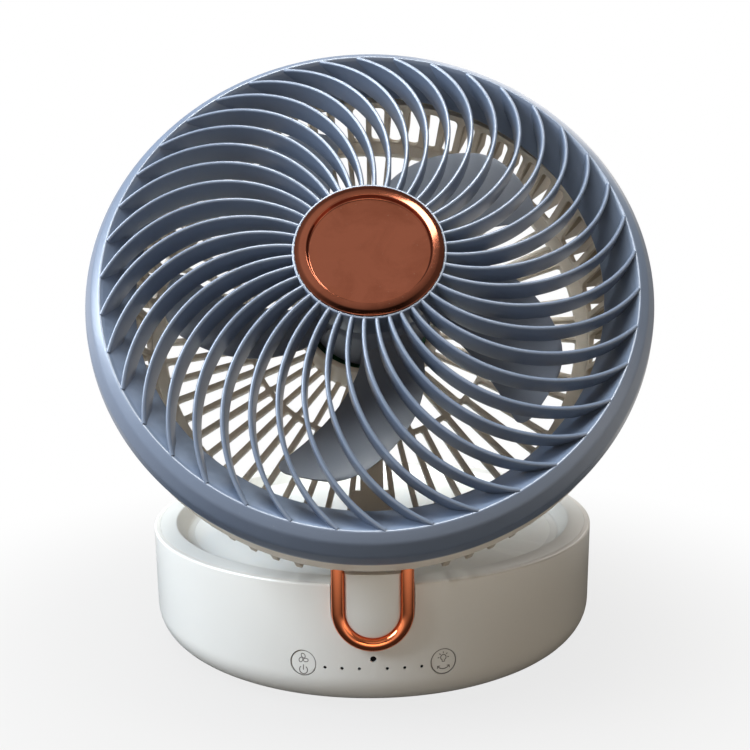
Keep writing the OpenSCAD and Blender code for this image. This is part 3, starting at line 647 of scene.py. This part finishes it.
def vane_section(front, back):
    """A thin wall with a round front edge, as (across, z) points."""
    half = min(VANE_T / 2, (front - back) * 0.45)
    low = back + min(1.0, 0.3 * (front - back))
    points = [(-half * 0.8, back), (-half * 1.08, low)]
    for k in range(9):
        a = math.pi * (1 - k / 8)
        points.append((half * math.cos(a), front - half + half * math.sin(a)))
    return points + [(half * 1.08, low), (half * 0.8, back)]


rings = []
for a in np.radians(np.linspace(*ARC_RUN, 44)):
    spoke = Vector(polar(1.0, a))
    here = ARC_CENTRE + spoke * ARC_R
    front, back = vane_front(here.length), vane_back(here.length)
    rings.append([(*(here + spoke * across), z) for across, z in vane_section(front, back)])
piece("grille_vanes", "head", ring_of(skin(rings), VANE_COUNT), grille_blue, "front_grille",
      sharp=50)

# %% The hub that the vanes run into
hub_section = rounded([
    (0, 0, 0), (25.2, 0, 0.5), (25.2, -2, 0.3), (27.3, -2, 0.6), (27.3, 10.2, 0.45),
    (26.45, 10.2, 0.2), (26.45, 9.0, 0.1), (25.3, 9.0, 0.2), (25.3, 2.5, 0.5), (0, 2.5, 0)],
    steps=4)
piece("grille_hub", "head", turned(hub_section), grille_blue, "front_grille")

# %% [markdown]
# ## The hub cap
# A plated disc sits in the hub: a broad crowned rim with a shallow recess inside it. The rim's
# two edges are where the bright reflections run, so the section is drawn with its own radius at
# each edge. The recess floor is dished by a few tenths, because a flat mirror would show one tone.

# %% The cap
cap_section = rounded([
    (0, 8.0, 0), (22.6, 8.0, 0.3), (22.6, 2.5, 0.2), (24.6, 2.5, 0.2), (24.6, 9.05, 0.2),
    (26.3, 9.05, 0.15), (26.3, 10.7, 0.3), (24.6, 11.15, 7.0), (22.0, 11.55, 0.35),
    (21.65, 9.45, 0.55), (14.0, 9.25, 20.0), (0, 9.15, 0)], steps=7)
hub_cap = piece("hub_cap", "head", turned(cap_section, 256), cap_copper, "grille_cap",
                sharp=60)

# %% [markdown]
# ## The impeller
# Five broad blades sweep backwards and twist: steep at the hub, where they are slow, and flatter
# at the tip. Each blade is a grid of points in radius and chord, with a front and a back skin
# and round edges, so its thickness can follow a real blade: thick in the middle, thin at the rim.

# %% Blade shape
BLADE_COUNT = 5
BLADE_ROOT = 24.0
BLADE_TIP = 78.0
BLADE_Z = -19.5
CORNER_R = 5.0


def blade_edges(r):
    """Middle angle and half chord angle of a blade at a radius, in degrees."""
    u = max(0.0, (r - 30.0) / 46.0)
    corner = max(0.0, (r - (BLADE_TIP - CORNER_R)) / CORNER_R)
    half = 21 - 9.5 * u ** 1.9 - 5.5 * (1 - math.sqrt(max(0.0, 1 - corner ** 2)))
    return -77 - 28.5 * u ** 1.2, half


def blade_point(r, s, side):
    """A point of a blade: s runs from -1 to 1 across the chord, side is 1 in front, -1 behind."""
    middle, half = blade_edges(r)
    u = (r - BLADE_ROOT) / (BLADE_TIP - BLADE_ROOT)
    pitch = math.radians(30 - 9 * u)
    along = math.radians(half * s) * r
    thick = (1.0 - 0.35 * u) * (1 - 0.62 * abs(s) ** 3)
    z = BLADE_Z + along * math.tan(pitch) + 1.1 * (1 - s * s) + side * thick
    return (*polar(r, math.radians(middle + half * s)), z)


def blade():
    """One blade, as a closed skin of rings from root to tip."""
    radii = [*np.linspace(BLADE_ROOT - 0.6, BLADE_TIP - 5.5, 24),
             *(BLADE_TIP - CORNER_R + CORNER_R * math.sin(a) for a in np.linspace(0.15, 1.50, 7))]
    chord = [-math.cos(math.pi * k / 20) for k in range(21)]
    rings = []
    for r in radii:
        front = [blade_point(r, s, 1) for s in chord]
        back = [blade_point(r, s, -1) for s in reversed(chord)]
        rings.append(front + back)
    return skin(rings)


impeller_hub = turned(rounded([
    (0, -10.2, 0), (1.5, -10.2, 0.2), (1.5, -9.0, 0.2), (21.0, -9.0, 3.0), (24.5, -12.5, 3.0),
    (24.5, -36.0, 0.4), (22.6, -36.0, 0.4), (22.6, -14.0, 2.0), (0, -14.0, 0)], steps=6))
piece("impeller_blades", "rotor", joined(impeller_hub, ring_of(blade(), BLADE_COUNT)), slate_blade,
      "impeller", sharp=40)

# %% [markdown]
# ## Sheets with a row of openings
# The side wall and the back of the head are cages: sheets pierced by long openings with rounded
# ends. A sheet is built from one sector with its opening, copied round. Between the opening and
# the sector's border runs a band of quads, in front and behind, with a small round in between.

# %% One sector of a pierced sheet
SIDE_POINTS = 5
CORNER_STEPS = 4


def opening(half_width, low, high, radius, grow):
    """Outline of an opening as (across, along) points; half_width is a function of along."""
    low, high, radius = low - grow, high + grow, radius + grow
    run = np.linspace(low + radius, high - radius, SIDE_POINTS)
    points = [(half_width(v) + grow, v) for v in run]
    for first, end, sign in ((0, high - radius, 1), (90, high - radius, -1),
                             (180, low + radius, -1), (270, low + radius, 1)):
        if first == 180:
            points += [(-half_width(v) - grow, v) for v in run[::-1]]
        corner = sign * (half_width(end) + grow - radius)
        for k in range(CORNER_STEPS + 1):
            x, y = polar(radius, math.radians(first + 90 * k / CORNER_STEPS))
            points.append((corner + x, end + y))
    return points


def border(low, high, limits):
    """The sector's border, point for point with opening(): (share of the half pitch, along)."""
    run = np.linspace(low, high, SIDE_POINTS)
    last = 2 * CORNER_STEPS + 1
    top = [(1 - 2 * k / last, limits[1]) for k in range(last + 1)]
    bottom = [(-1 + 2 * k / last, limits[0]) for k in range(last + 1)]
    return [(1, v) for v in run] + top + [(-1, v) for v in run[::-1]] + bottom


def pierced(count, half_width, low, high, radius, limits, surface, depth, soft=0.35):
    """A closed ring of sectors. surface(angle, along, depth) gives a point in space."""
    half_pitch = math.pi / count
    edge = border(low + radius, high - radius, limits)
    layers = [[surface(share * half_pitch, v, 0) for share, v in edge]]
    for grow, down in ((soft, 0), (soft * 0.3, soft * 0.3), (0, soft), (0, depth - soft),
                       (soft * 0.3, depth - soft * 0.3), (soft, depth)):
        hole = opening(half_width, low, high, radius, grow)
        layers.append([surface(None, v, down, across) for across, v in hole])
    layers.append([surface(share * half_pitch, v, depth) for share, v in edge])
    verts, faces = skin(layers, caps=False)
    size = len(edge)
    last = (len(layers) - 1) * size
    for j in range(size):
        k = (j + 1) % size
        if edge[j][1] == edge[k][1] and edge[j][1] in limits:
            faces.append((j, last + j, last + k, k))
    return ring_of((verts, faces), count, 180 / count)


print("an opening has", len(opening(lambda v: 2.0, 0, 10, 1.0, 0)), "points")

# %% [markdown]
# ## The rear shroud
# Behind the blue ring follows the cream shroud: a stepped ring, a conical side wall with 72
# slots, and a slightly domed back with two rows of ribs round the motor's cup. The ribs are
# deeper than they are wide, so each shows a lit edge and a dark side through the vanes.

# %% Shroud ring, corner ring, middle ring and motor cup
WALL_TOP = Vector((97.2, -26.2))
WALL_LOW = Vector((91.3, -45.0))
MID_R = 50.4
MID_HALF = 0.9
CUP_R = 29.2
RIB_DEPTH = 3.2


def dome(r):
    """Height of the ribs' front edges at a radius."""
    return -49.5 + (r - CUP_R) / 62.0 * 4.5


solid_rings = [
    rounded([(94.8, -26.5, 0.3), (102.4, -26.5, 0.4), (103.2, -28.0, 0.4), (105.3, -28.0, 0.7),
             (105.3, -15.5, 0.4), (104.1, -15.5, 0.2), (104.1, -14.7, 0.2), (105.3, -14.7, 0.35),
             (105.3, -13.8, 0.35), (103.0, -13.8, 0.2), (103.0, -13.4, 0.2), (101.0, -13.4, 0.3),
             (101.0, -24.3, 1.0), (94.8, -24.3, 0.3)]),
    rounded([(84.6, -45.3, 0.5), (88.8, -43.8, 0.5), (91.4, -43.9, 0.6), (91.5, -45.8, 1.6),
             (89.5, -48.0, 1.6), (84.6, -48.0, 0.4)]),
    rounded([(MID_R - MID_HALF, dome(MID_R) - RIB_DEPTH, 0.4),
             (MID_R + MID_HALF, dome(MID_R) - RIB_DEPTH, 0.4),
             (MID_R + MID_HALF, dome(MID_R), 0.5), (MID_R - MID_HALF, dome(MID_R), 0.5)]),
    rounded([(0, -52.7, 0), (CUP_R, -52.7, 1.2), (CUP_R, -33.0, 0.7), (27.0, -33.0, 0.7),
             (27.0, -50.2, 1.0), (0, -50.2, 0)]),
]


def shroud_piece(name, shape, finish=shroud_cream):
    """A piece of the rear shroud."""
    piece(name, "head", shape, finish, "rear_shroud")


shroud_piece("shroud_rings", joined(*(turned(section, RING_STEPS) for section in solid_rings)))

# %% The slotted side wall
FIN_COUNT = 72
BAR_HALF = 1.3
slope = (WALL_LOW - WALL_TOP).normalized()
inward = Vector((slope.y, -slope.x))


def wall_surface(angle, along, depth, across=0.0):
    """A point of the side wall: along runs down from its top, depth runs inward."""
    spot = WALL_TOP + slope * along + inward * depth
    a = across / (WALL_TOP + slope * along).x if angle is None else angle
    return (*polar(spot.x, a), spot.y)


def slot_half(along):
    """Half the width of a slot, so that the bars between the slots keep theirs."""
    return (WALL_TOP + slope * along).x * math.pi / FIN_COUNT - BAR_HALF


wall_long = (WALL_LOW - WALL_TOP).length
shroud_piece("shroud_wall", pierced(FIN_COUNT, slot_half, 1.9, wall_long - 1.2, 1.9,
                                    (0.0, wall_long), wall_surface, 2.4))

# %% Deep fins outside the side wall, except where the arm folds past them; a darker cream paints their shade
ARM_SIDE, ARM_CLEAR = 270, 11  # degrees round the head, and to each side of there
fin_outline = rounded([(89.8, -46.1, 0.2), (104.0, -47.0, 1.1), (104.0, -24.8, 0.2),
                       (96.0, -24.8, 0.2)], steps=4)
fin = plate(fin_outline, 2 * BAR_HALF, 0.4)
fins = [placed(fin, Matrix.Rotation(math.radians(angle), 4, "Z"))
        for angle in np.arange(FIN_COUNT) * 360 / FIN_COUNT if abs(angle - ARM_SIDE) > ARM_CLEAR]
shroud_piece("shroud_fins", joined(*fins), fin_painted_shade)

# %% The two rows of ribs in the back
def back_surface(angle, along, depth, across=0.0):
    """A point of the domed back: along is the radius, depth runs backwards."""
    a = across / along if angle is None else angle
    return (*polar(along, a), dome(along) - depth)


def rib_row(count, rib_half, low, high, corner, limits):
    """A row of ribs that all have the same width."""
    return pierced(count, lambda r: r * math.pi / count - rib_half, low, high, corner, limits,
                   back_surface, RIB_DEPTH)


outer_ribs = rib_row(60, 1.05, MID_R + 0.6, 85.4, 1.7, (MID_R - 0.3, 88.5))
inner_ribs = rib_row(40, 0.9, CUP_R - 0.3, MID_R - 0.6, 1.2, (CUP_R - 1.6, MID_R + 0.3))
shroud_piece("shroud_ribs", joined(outer_ribs, inner_ribs))

# %% The hinge lug, its plate and the cable duct
PIN_Y, PIN_Z = -98.5, -39.0  # the hinge pin in the head's frame
lug_section = rounded([(2.05, -7.4, 0.2), (4.6, -7.4, 0.5), (4.6, 7.4, 0.5), (2.05, 7.4, 0.2)])
along_pin = Matrix.Translation((0, PIN_Y, PIN_Z)) @ Matrix.Rotation(math.pi / 2, 4, "Y")
shroud_piece("shroud_hinge", joined(
    placed(turned(lug_section, 64), along_pin),
    block((-7.4, PIN_Y + 2.6, -43.6), (7.4, -90.0, -34.4), 0.7),
    block((-7.8, -90.8, -48.2), (7.8, -72.0, -44.4), 0.8),
    block((-4.4, -73.0, -51.5), (4.4, -28.4, -45.0), 1.0),
))

# %% The motor cover on the back
disc_section = rounded([
    (0, -52.7, 0), (26.0, -52.7, 0.1), (26.0, -53.6, 0.3), (24.4, -54.5, 0.8), (19.0, -54.5, 0.3),
    (18.6, -54.1, 0.3), (17.8, -54.1, 0.3), (17.4, -54.5, 0.3), (0, -54.5, 0)], steps=4)
piece("motor_cover_disc", "head", turned(disc_section), shroud_cream, "motor_cover")

# %% [markdown]
# ## The base
# The base is a thick white disc with a round lower edge. Its wall is almost plumb and very
# plain, so the small things on it matter: two push buttons, a receiver hole between six lamp
# holes, and the notch for the arm. The wall is turned from its section and the openings are cut
# through it.

# %% The turned shell
BASE_TOP = 51.0
BASE_STEPS = 384
ARM_R = 15.0
ARM_Z = BASE_TOP - 9.35
BUTTON_A = 14.8
BUTTON_Z = 20.2
shell_section = rounded([
    (70.5, 2.1, 0.3), (101.1, 2.1, 14.4), (101.9, BASE_TOP, 0.9), (99.4, BASE_TOP, 0.06),
    (98.6, 4.6, 12.0), (73.0, 4.6, 0.5), (73.0, 8.5, 0.4), (9.05, 8.5, 0.1), (9.05, 6.0, 0.1),
    (70.5, 6.0, 0.5)], steps=12)
base_shell = piece("base_shell_skin", "base", turned(shell_section, BASE_STEPS), base_white,
                   "base_shell")

# %% Cutters for the openings
NOTCH_GAP = 0.4
IN_FRONT = -112
THROUGH_WALL = (94, 106)
LAMP_Z, LAMP_FIRST, LAMP_STEP = 19.2, 2.9, 3.6  # height, then degrees from the middle


def u_outline(radius, top, steps=32):
    """The U seen from the front, as (x, z) points from the left leg's top to the right one's."""
    bend = (polar(radius, math.pi * k / steps) for k in range(steps + 1))
    return [(-radius, top), *((-x, ARM_Z - z) for x, z in bend), (radius, top)]


def prism(outline, depths):
    """An outline of (x, z) points drawn out between two depths."""
    return skin([[(x, y, z) for x, z in outline] for y in depths])


def at_wall(angle, z, shape):
    """Places a shape that was drawn along +Z so that it points out of the base's wall."""
    turn = Matrix.Rotation(math.radians(angle - 90), 4, "Z") @ Matrix.Translation((0, 0, z))
    return placed(shape, turn @ Matrix.Rotation(math.pi / 2, 4, "Y"))


def drill(radius, segments):
    """A plain rod along Z, long enough to go through the wall."""
    return skin([[(*polar(radius, 2 * math.pi * k / segments), z) for k in range(segments)]
                 for z in THROUGH_WALL])


notch_outline = u_outline(ARM_R + NOTCH_GAP, 60)
cutters = [prism(notch_outline, (IN_FRONT, -96.4))]
for side in (-1, 1):
    cutters.append(at_wall(side * BUTTON_A, BUTTON_Z, drill(5.05, 48)))
    for angle in (LAMP_FIRST + LAMP_STEP * k for k in range(3)):
        cutters.append(at_wall(side * angle, LAMP_Z, drill(0.62, 24)))
cutters.append(at_wall(0, 22.9, drill(1.15, 32)))
port_outline = rounded([(-4.7, 18.4, 1.8), (4.7, 18.4, 1.8), (4.7, 22.0, 1.8), (-4.7, 22.0, 1.8)],
                       steps=8)
cutters.append(prism(port_outline, THROUGH_WALL))
cut(base_shell, cutters)

# %% [markdown]
# The top cover is the rim and the wall of the lamp dish, with the milky diffuser set into a
# ledge at its bottom. A fine gap between rim and shell shows that they are two mouldings.

# %% Rim, dish and diffuser
cover_section = rounded([
    (99.36, 48.0, 0), (99.36, BASE_TOP, 0.06), (92.1, BASE_TOP, 1.2), (87.7, 44.7, 1.6),
    (84.17, 44.7, 0.04), (84.17, 43.0, 0.04), (74.0, 43.0, 0.2), (74.0, 41.0, 0.2),
    (91.5, 41.0, 0.5), (94.2, 44.5, 0.5), (94.2, 48.0, 0.3)], steps=8)
top_rim = piece("top_rim", "base", turned(cover_section, BASE_STEPS), rim_white, "top_cover")
cut(top_rim, [prism(notch_outline, (IN_FRONT, -96.0))])
diffuser_section = rounded([
    (0, 43.0, 0), (84.15, 43.0, 0.04), (84.15, 44.7, 0.04), (60.0, 44.85, 30.0), (0, 44.9, 0)],
    steps=6)
piece("dish_floor", "base", turned(diffuser_section, 256), diffuser_milk, "lamp_diffuser")

# %% [markdown]
# ## The arm
# The arm is a U of white plastic that fills the notch. Its face carries a plated half-round trim,
# and a crowned tongue fills the U. All three follow one outline, so they are skins over the same
# U at different radii.

# %% The white body of the arm
ARM_FACE = -102.6
HINGE_Y, HINGE_Z = -101.0, 61.0


def u_skin(layers, top):
    """A U-shaped solid: layers of (radius, depth y) from the back to the front."""
    rings = [[(x, y, z) for x, z in u_outline(radius, top)] for radius, y in layers]
    verts, faces = skin(rings, caps=False)
    count = len(rings[0])
    for base in (0, (len(rings) - 1) * count):
        for k in range(count // 2 - 1):
            faces.append((base + k, base + k + 1, base + count - 2 - k, base + count - 1 - k))
    return verts, faces


body_layers = [(14.4, -96.4), (14.85, -96.55), (15.0, -97.0), (15.0, -101.2), (14.8, -101.4)]
hinge_arm = piece("arm_body", "base", u_skin(body_layers, HINGE_Z), base_white, "hinge_arm")
cut(hinge_arm, [prism([(-8.2, 56.0), (8.2, 56.0), (8.2, 70), (-8.2, 70)], (IN_FRONT, -90))])
ear_section = rounded([(2.0, -3.3, 0.1), (4.6, -3.3, 0.3), (4.6, 3.3, 0.8), (2.0, 3.3, 0.2)])
ears = []
for side in (-1, 1):
    spot = Matrix.Translation((side * 11.6, HINGE_Y, HINGE_Z))
    ears.append(placed(turned(ear_section, 64), spot @ Matrix.Rotation(side * math.pi / 2, 4, "Y")))
piece("arm_ears", "base", joined(*ears), base_white, "hinge_arm")

# %% The crowned tongue
TONGUE_R = 10.05
EDGE_R = 1.6
tongue_layers = [(TONGUE_R, -101.6)]
tongue_layers += [(TONGUE_R - EDGE_R * (1 - math.cos(a)), ARM_FACE - EDGE_R * math.sin(a))
                  for a in np.linspace(0, math.pi / 2 * 0.86, 8)]
tongue_layers += [(TONGUE_R - step, -104.25 - 0.95 * (1 - ((TONGUE_R - step) / 8.4) ** 2))
                  for step in (2.6, 3.8, 5.0, 6.4, 7.8, 9.0)]
piece("arm_tongue", "base", u_skin(tongue_layers, 56.0), base_white, "hinge_arm",
      sharp=60)

# %% The plated trim
TRIM_R = 2.45
TRIM_PATH = ARM_R - TRIM_R
TRIM_TOP = 58.5
half_round = (polar(TRIM_R, math.pi * k / 24) for k in range(25))
trim_section = [(-TRIM_R, -1.1), *((-x, y) for x, y in half_round), (TRIM_R, -1.1)]
path = [(-TRIM_PATH, z, 180.0) for z in np.linspace(TRIM_TOP, ARM_Z, 8)]
for angle in np.linspace(180, 360, 65)[1:]:
    x, z = polar(TRIM_PATH, math.radians(angle))
    path.append((x, ARM_Z + z, angle))
path += [(TRIM_PATH, z, 360.0) for z in np.linspace(ARM_Z, TRIM_TOP, 8)[1:]]
rings = []
for x, z, angle in path:
    out = Vector(polar(1.0, math.radians(angle)))
    rings.append([(x + out.x * s, ARM_FACE - h, z + out.y * s) for s, h in trim_section])
piece("arm_trim_plated", "base", skin(rings), trim_copper, "arm_trim", sharp=50)

# %% [markdown]
# ## Buttons and their signs
# Each button is a cap that follows the wall's curve, with a hairline gap round it. Its signs are
# printed: a ring, a fan and a power sign on the left, a bulb and a turning arrow on the right.
# They are thin inlays laid on the cap, so they stay sharp from close by.

# %% The caps
WALL_R = 101.15


def on_wall(angle, across, z, out=0.0):
    """A point on the base's wall near a button, given across and up from its centre."""
    turn = math.radians(angle)
    depth = math.sqrt((WALL_R + out) ** 2 - across ** 2)
    return (across * math.cos(turn) + depth * math.sin(turn),
            across * math.sin(turn) - depth * math.cos(turn), BUTTON_Z + z)


def button_shape(angle):
    """A cap: a curved face with a soft edge, a skirt and a flange behind the wall."""
    rings = []
    for radius, out in ((0.01, 0), (1.2, 0), (2.4, 0), (3.6, 0), (4.5, 0), (4.78, -0.04),
                        (4.9, -0.2), (4.9, -4.4), (6.0, -4.5), (6.0, -5.3), (2.0, -5.4),
                        (0.01, -5.4)):
        turns = (polar(radius, 2 * math.pi * k / 72) for k in range(72))
        rings.append([on_wall(angle, x, y, out) for x, y in turns])
    return skin(rings)


for side, key in ((-1, "power"), (1, "light")):
    piece(f"{key}_cap", f"{key}_key", button_shape(side * BUTTON_A), base_white, f"{key}_button")

# %% Signs drawn as strokes
def circle(radius, first, last, centre=(0, 0), steps=40):
    """Points on part of a circle."""
    turns = (polar(radius, math.radians(a)) for a in np.linspace(first, last, steps))
    return [(centre[0] + x, centre[1] + y) for x, y in turns]


def stroke(points, width, angle, closed=False):
    """A thin inlay along a line of points on a button's face."""
    points = [Vector(p) for p in points]
    rings = []
    for i, p in enumerate(points):
        before = points[i - 1] if i or closed else p
        after = points[(i + 1) % len(points)] if i + 1 < len(points) or closed else p
        side = (after - before).normalized().orthogonal() * width / 2
        rings.append([on_wall(angle, (p + side * s).x, (p + side * s).y, out)
                      for s, out in ((-1, -0.04), (-1, 0.03), (1, 0.03), (1, -0.04))])
    return skin(rings, closed_row=closed)


def petal(turn, centre):
    """One blade of the fan sign."""
    a = math.radians(turn)
    points = []
    for k in range(20):
        t = 2 * math.pi * k / 20
        along, across = 1.08 + 0.88 * math.cos(t), 0.74 * math.sin(t) + 0.24 * math.cos(t)
        points.append((centre[0] + along * math.cos(a) - across * math.sin(a),
                       centre[1] + along * math.sin(a) + across * math.cos(a)))
    return points


LINE = 0.32
BOLD = LINE + 0.06
FAN_AT = (0.0, 1.6)
POWER_AT = (0.0, -2.75)
BULB_AT = (0.0, 1.5)
sign_ring = (circle(4.74, 0, 354, steps=72), LINE, True)
power_sign = [sign_ring, *((petal(turn, FAN_AT), LINE, True) for turn in (90, 210, 330)),
              (circle(1.55, 128, 412, POWER_AT), BOLD), ([POWER_AT, (0.0, -0.75)], BOLD)]
light_sign = [sign_ring, (circle(1.05, -60, 240, BULB_AT), LINE),
              ([(-0.5, 0.65), (-0.5, -0.1), (0.5, -0.1), (0.5, 0.65)], LINE)]
for turn in (0, 45, 90, 135, 180):
    ray = Vector(polar(1.0, math.radians(turn)))
    light_sign.append(([tuple(Vector(BULB_AT) + ray * reach) for reach in (1.55, 2.2)], LINE))
light_sign.append((circle(2.9, 220, 320), BOLD))
for side in (-1, 1):
    tip = (side * 2.3, -1.75)
    head = [(tip[0] - side * 0.95, tip[1] - 0.02), tip, (tip[0] + side * 0.05, tip[1] - 0.98)]
    light_sign.append((head, LINE + 0.04))
for side, key, sign in ((-1, "power", power_sign), (1, "light", light_sign)):
    strokes = [stroke(points, width, side * BUTTON_A, *closed) for points, width, *closed in sign]
    piece(f"{key}_signs", f"{key}_key", joined(*strokes), printed_ink)

# %% [markdown]
# ## What stays as the CAD made it
# The foot, the screws, the lenses and everything inside have the right shape already. They only
# need their finish: the circuit boards a soldered green, the cells a printed sleeve, the magnets a
# dark sintered grey.

# %% Finishes for the inner parts
board_green = plastic("board_green", (22, 92, 52), (16, 74, 42), 0.32, pits=2.5, depth=0.01,
                      coat=0.2)
cell_sleeve = plastic("cell_sleeve", (58, 120, 160), (48, 104, 142), 0.3, pits=0.8, depth=0.006)
chip_yellow = plastic("chip_yellow", (238, 214, 120), (226, 196, 92), 0.3, pits=3.0)
magnet_grey = plastic("magnet_grey", (60, 60, 64), (48, 48, 52), 0.6, pits=2.0, depth=0.03)
own_finish = (
    (foot_rubber, ["foot_pad"]),
    (white_nylon, ["foot_disc", "pivot_post", "thrust_washer", "sun_gear", "drive_gear"]),
    (bright_steel, ["retaining_washer", "pivot_screw", "cover_screws", "arm_screws", "hinge_pin",
                    "friction_washers", "charge_port", "swing_motor", "drive_shaft",
                    "grille_screws", "rotor_can", "motor_shaft", "impeller_nut"]),
    (board_green, ["lamp_board", "main_board", "port_board", "motor_board"]),
    (chip_yellow, ["lamp_chips"]),
    (black_nylon, ["tact_switches", "battery_tray"]),
    (smoked_lens, ["indicator_pipes", "receiver_window"]),
    (cell_sleeve, ["battery_cells"]),
    (bearing_bronze, ["bearing_tube", "rear_bearing", "front_bearing"]),
    (lamination, ["motor_stator"]),
    (coil_copper, ["motor_windings"]),
    (magnet_grey, ["magnet_ring"]),
)
for finish, names in own_finish:
    for name in names:
        mesh = frame["nodes"][name].data
        mesh.materials.clear()
        mesh.materials.append(finish)
        shade(mesh, 30)
print("finished", sum(len(names) for finish, names in own_finish), "CAD nodes")

# %% [markdown]
# ## Floor, light and world
# The fan stands on a pale floor in a white studio. The camera and glass see both as white, and the
# floor keeps a soft shadow. Glossy pieces mirror a dim room instead, brighter on the left, dark
# ahead and close to the fan, with two soft patches for the cap. All other rays see nearly black,
# so that only the lamps shape the fan.

# %% What each kind of ray sees
def choose(tree, share, one, two):
    """A mix of two shaders."""
    return node(tree, "MixShader", {0: share, 1: one, 2: two}).outputs[0]


def by_ray(tree, plain, mirrored, white):
    """One shader for most rays, one for glossy rays and one for the camera and glass."""
    path = node(tree, "LightPath").outputs
    seen = calc(tree, "MAXIMUM", path["Is Camera Ray"], path["Is Transmission Ray"])
    return choose(tree, seen, choose(tree, path["Is Glossy Ray"], plain, mirrored), white)


def distance(tree, place, spot=(0, 0, 0)):
    """How far a place or a direction is from a spot."""
    return node(tree, "VectorMath", {0: place, 1: spot}, operation="DISTANCE").outputs["Value"]


print("rays are told apart for the floor and the world")

# %% The floor
FLOOR_HALF = 6
floor_mesh = bpy.data.meshes.new("floor")
corners = [(x * FLOOR_HALF, y * FLOOR_HALF, 0) for x, y in ((-1, -1), (1, -1), (1, 1), (-1, 1))]
floor_mesh.from_pydata(corners, [], [(0, 1, 2, 3)])
floor = bpy.data.objects.new("floor", floor_mesh)
bpy.context.scene.collection.objects.link(floor)
floor_paper, tree, shader = blank("floor_paper")
fill(tree, shader, {
    "Base Color": (0.16, 0.155, 0.15, 1), "Roughness": 0.9, "Specular IOR Level": 0.1})
away = distance(tree, node(tree, "TexCoord").outputs["Object"])
glow = node(tree, "Emission", {"Color": (1, 1, 1, 1), "Strength": 1.0}).outputs[0]
pale = choose(tree, remap(tree, away, 0.09, 0.30, 0.80, 1.0, smooth=True), shader.outputs[0], glow)
far = remap(tree, away, 0.14, 0.34, 0.05, 0.85, smooth=True)
mirrored = node(tree, "Emission", {"Color": (1.0, 0.98, 0.95, 1), "Strength": far}).outputs[0]
surface = by_ray(tree, shader.outputs[0], mirrored, pale)
fill(tree, tree.nodes["Material Output"], {"Surface": surface})
floor_mesh.materials.append(floor_paper)
print("floor", floor_mesh.vertices[2].co[:])

# %% The world
DARK_AHEAD = (0.0, -0.88, 0.47)
world = bpy.data.worlds.new("studio")
bpy.context.scene.world = world
world.use_nodes = True
tree = world.node_tree
tree.nodes.clear()
direction = node(tree, "TexCoord").outputs["Generated"]
parts = node(tree, "SeparateXYZ", {"Vector": direction}).outputs
from_left = remap(tree, parts["X"], -0.2, -0.95, 0.20, 0.50)
lit = remap(tree, distance(tree, direction, DARK_AHEAD), 0.22, 0.55, 0.12, 1.0, smooth=True)
low_down = remap(tree, parts["Z"], 0.35, 0.05, 1.0, 2.8)
tone = times(tree, times(tree, from_left, lit), low_down)
for spot, inner, outer, strength in (((-0.10, -0.50, 0.86), 0.25, 0.52, 0.55),
                                     ((0.40, 0.69, 0.57), 0.18, 0.45, 2.6)):
    near_spot = distance(tree, direction, spot)
    patch = remap(tree, near_spot, inner, outer, strength, 0.0, smooth=True)
    tone = calc(tree, "ADD", tone, patch)
skies = [((1.0, 0.94, 0.86, 1), 0.03), ((1.0, 0.96, 0.92, 1), tone), ((1, 1, 1, 1), 1.0)]
skies = [node(tree, "Background", {"Color": colour, "Strength": strength}).outputs[0]
         for colour, strength in skies]
node(tree, "OutputWorld", {"Surface": by_ray(tree, *skies)})
print("world", world.name)

# %% [markdown]
# A window-like panel on the left and a softer one overhead do most of the work. Weak warm panels
# in front, on the right and behind keep the shaded sides open, and a small one high on the right
# gives the plated cap its highlight.

# %% The lamps
MIDDLE = (0, 0, 0.13)  # of the fan


def panel(name, at, aim, size, watts, colour):
    """A lamp with a flat face that points at a spot. Places and sizes are in metres."""
    lamp = bpy.data.lights.new(name, "AREA")
    lamp.shape = "RECTANGLE"
    lamp.size, lamp.size_y = size
    lamp.energy = watts
    lamp.color = colour
    made = bpy.data.objects.new(name, lamp)
    made.location = at
    made.rotation_euler = (Vector(aim) - Vector(at)).to_track_quat("-Z", "Y").to_euler()
    bpy.context.scene.collection.objects.link(made)
    return made


window = panel("window", (-1.05, -0.38, 0.85), MIDDLE, (0.8, 0.8), 32.0, (0.78, 0.88, 1.0))
ceiling = panel("ceiling", (-0.15, -0.38, 1.28), (0, -0.05, 0.15), (0.55, 0.55), 21.0,
                (0.98, 1.0, 0.97))
panel("top_back", (-0.2, 0.45, 1.25), MIDDLE, (0.7, 0.7), 1.0, (1.0, 0.92, 0.80))
panel("low_front", (0.0, -1.35, 0.3), MIDDLE, (0.7, 0.5), 2.5, (1.0, 0.85, 0.68))
panel("right_fill", (0.95, -0.55, 0.25), MIDDLE, (0.6, 0.6), 0.9, (1.0, 0.86, 0.68))
panel("cap_glint", (0.25, -0.38, 1.10), (0, -0.1, 0.17), (0.26, 0.24), 3.2, (1.0, 0.98, 0.94))

# The two big lamps pass the cap by: it is a mirror, and shows only the room and its own glint.
beside_cap = bpy.data.collections.new("lit by the small lamps only")
beside_cap.objects.link(hub_cap)
beside_cap.collection_objects[0].light_linking.link_state = "EXCLUDE"
for lamp in (window, ceiling):
    lamp.light_linking.receiver_collection = beside_cap

# %% Colours as written
bpy.context.scene.view_settings.view_transform = "Standard"
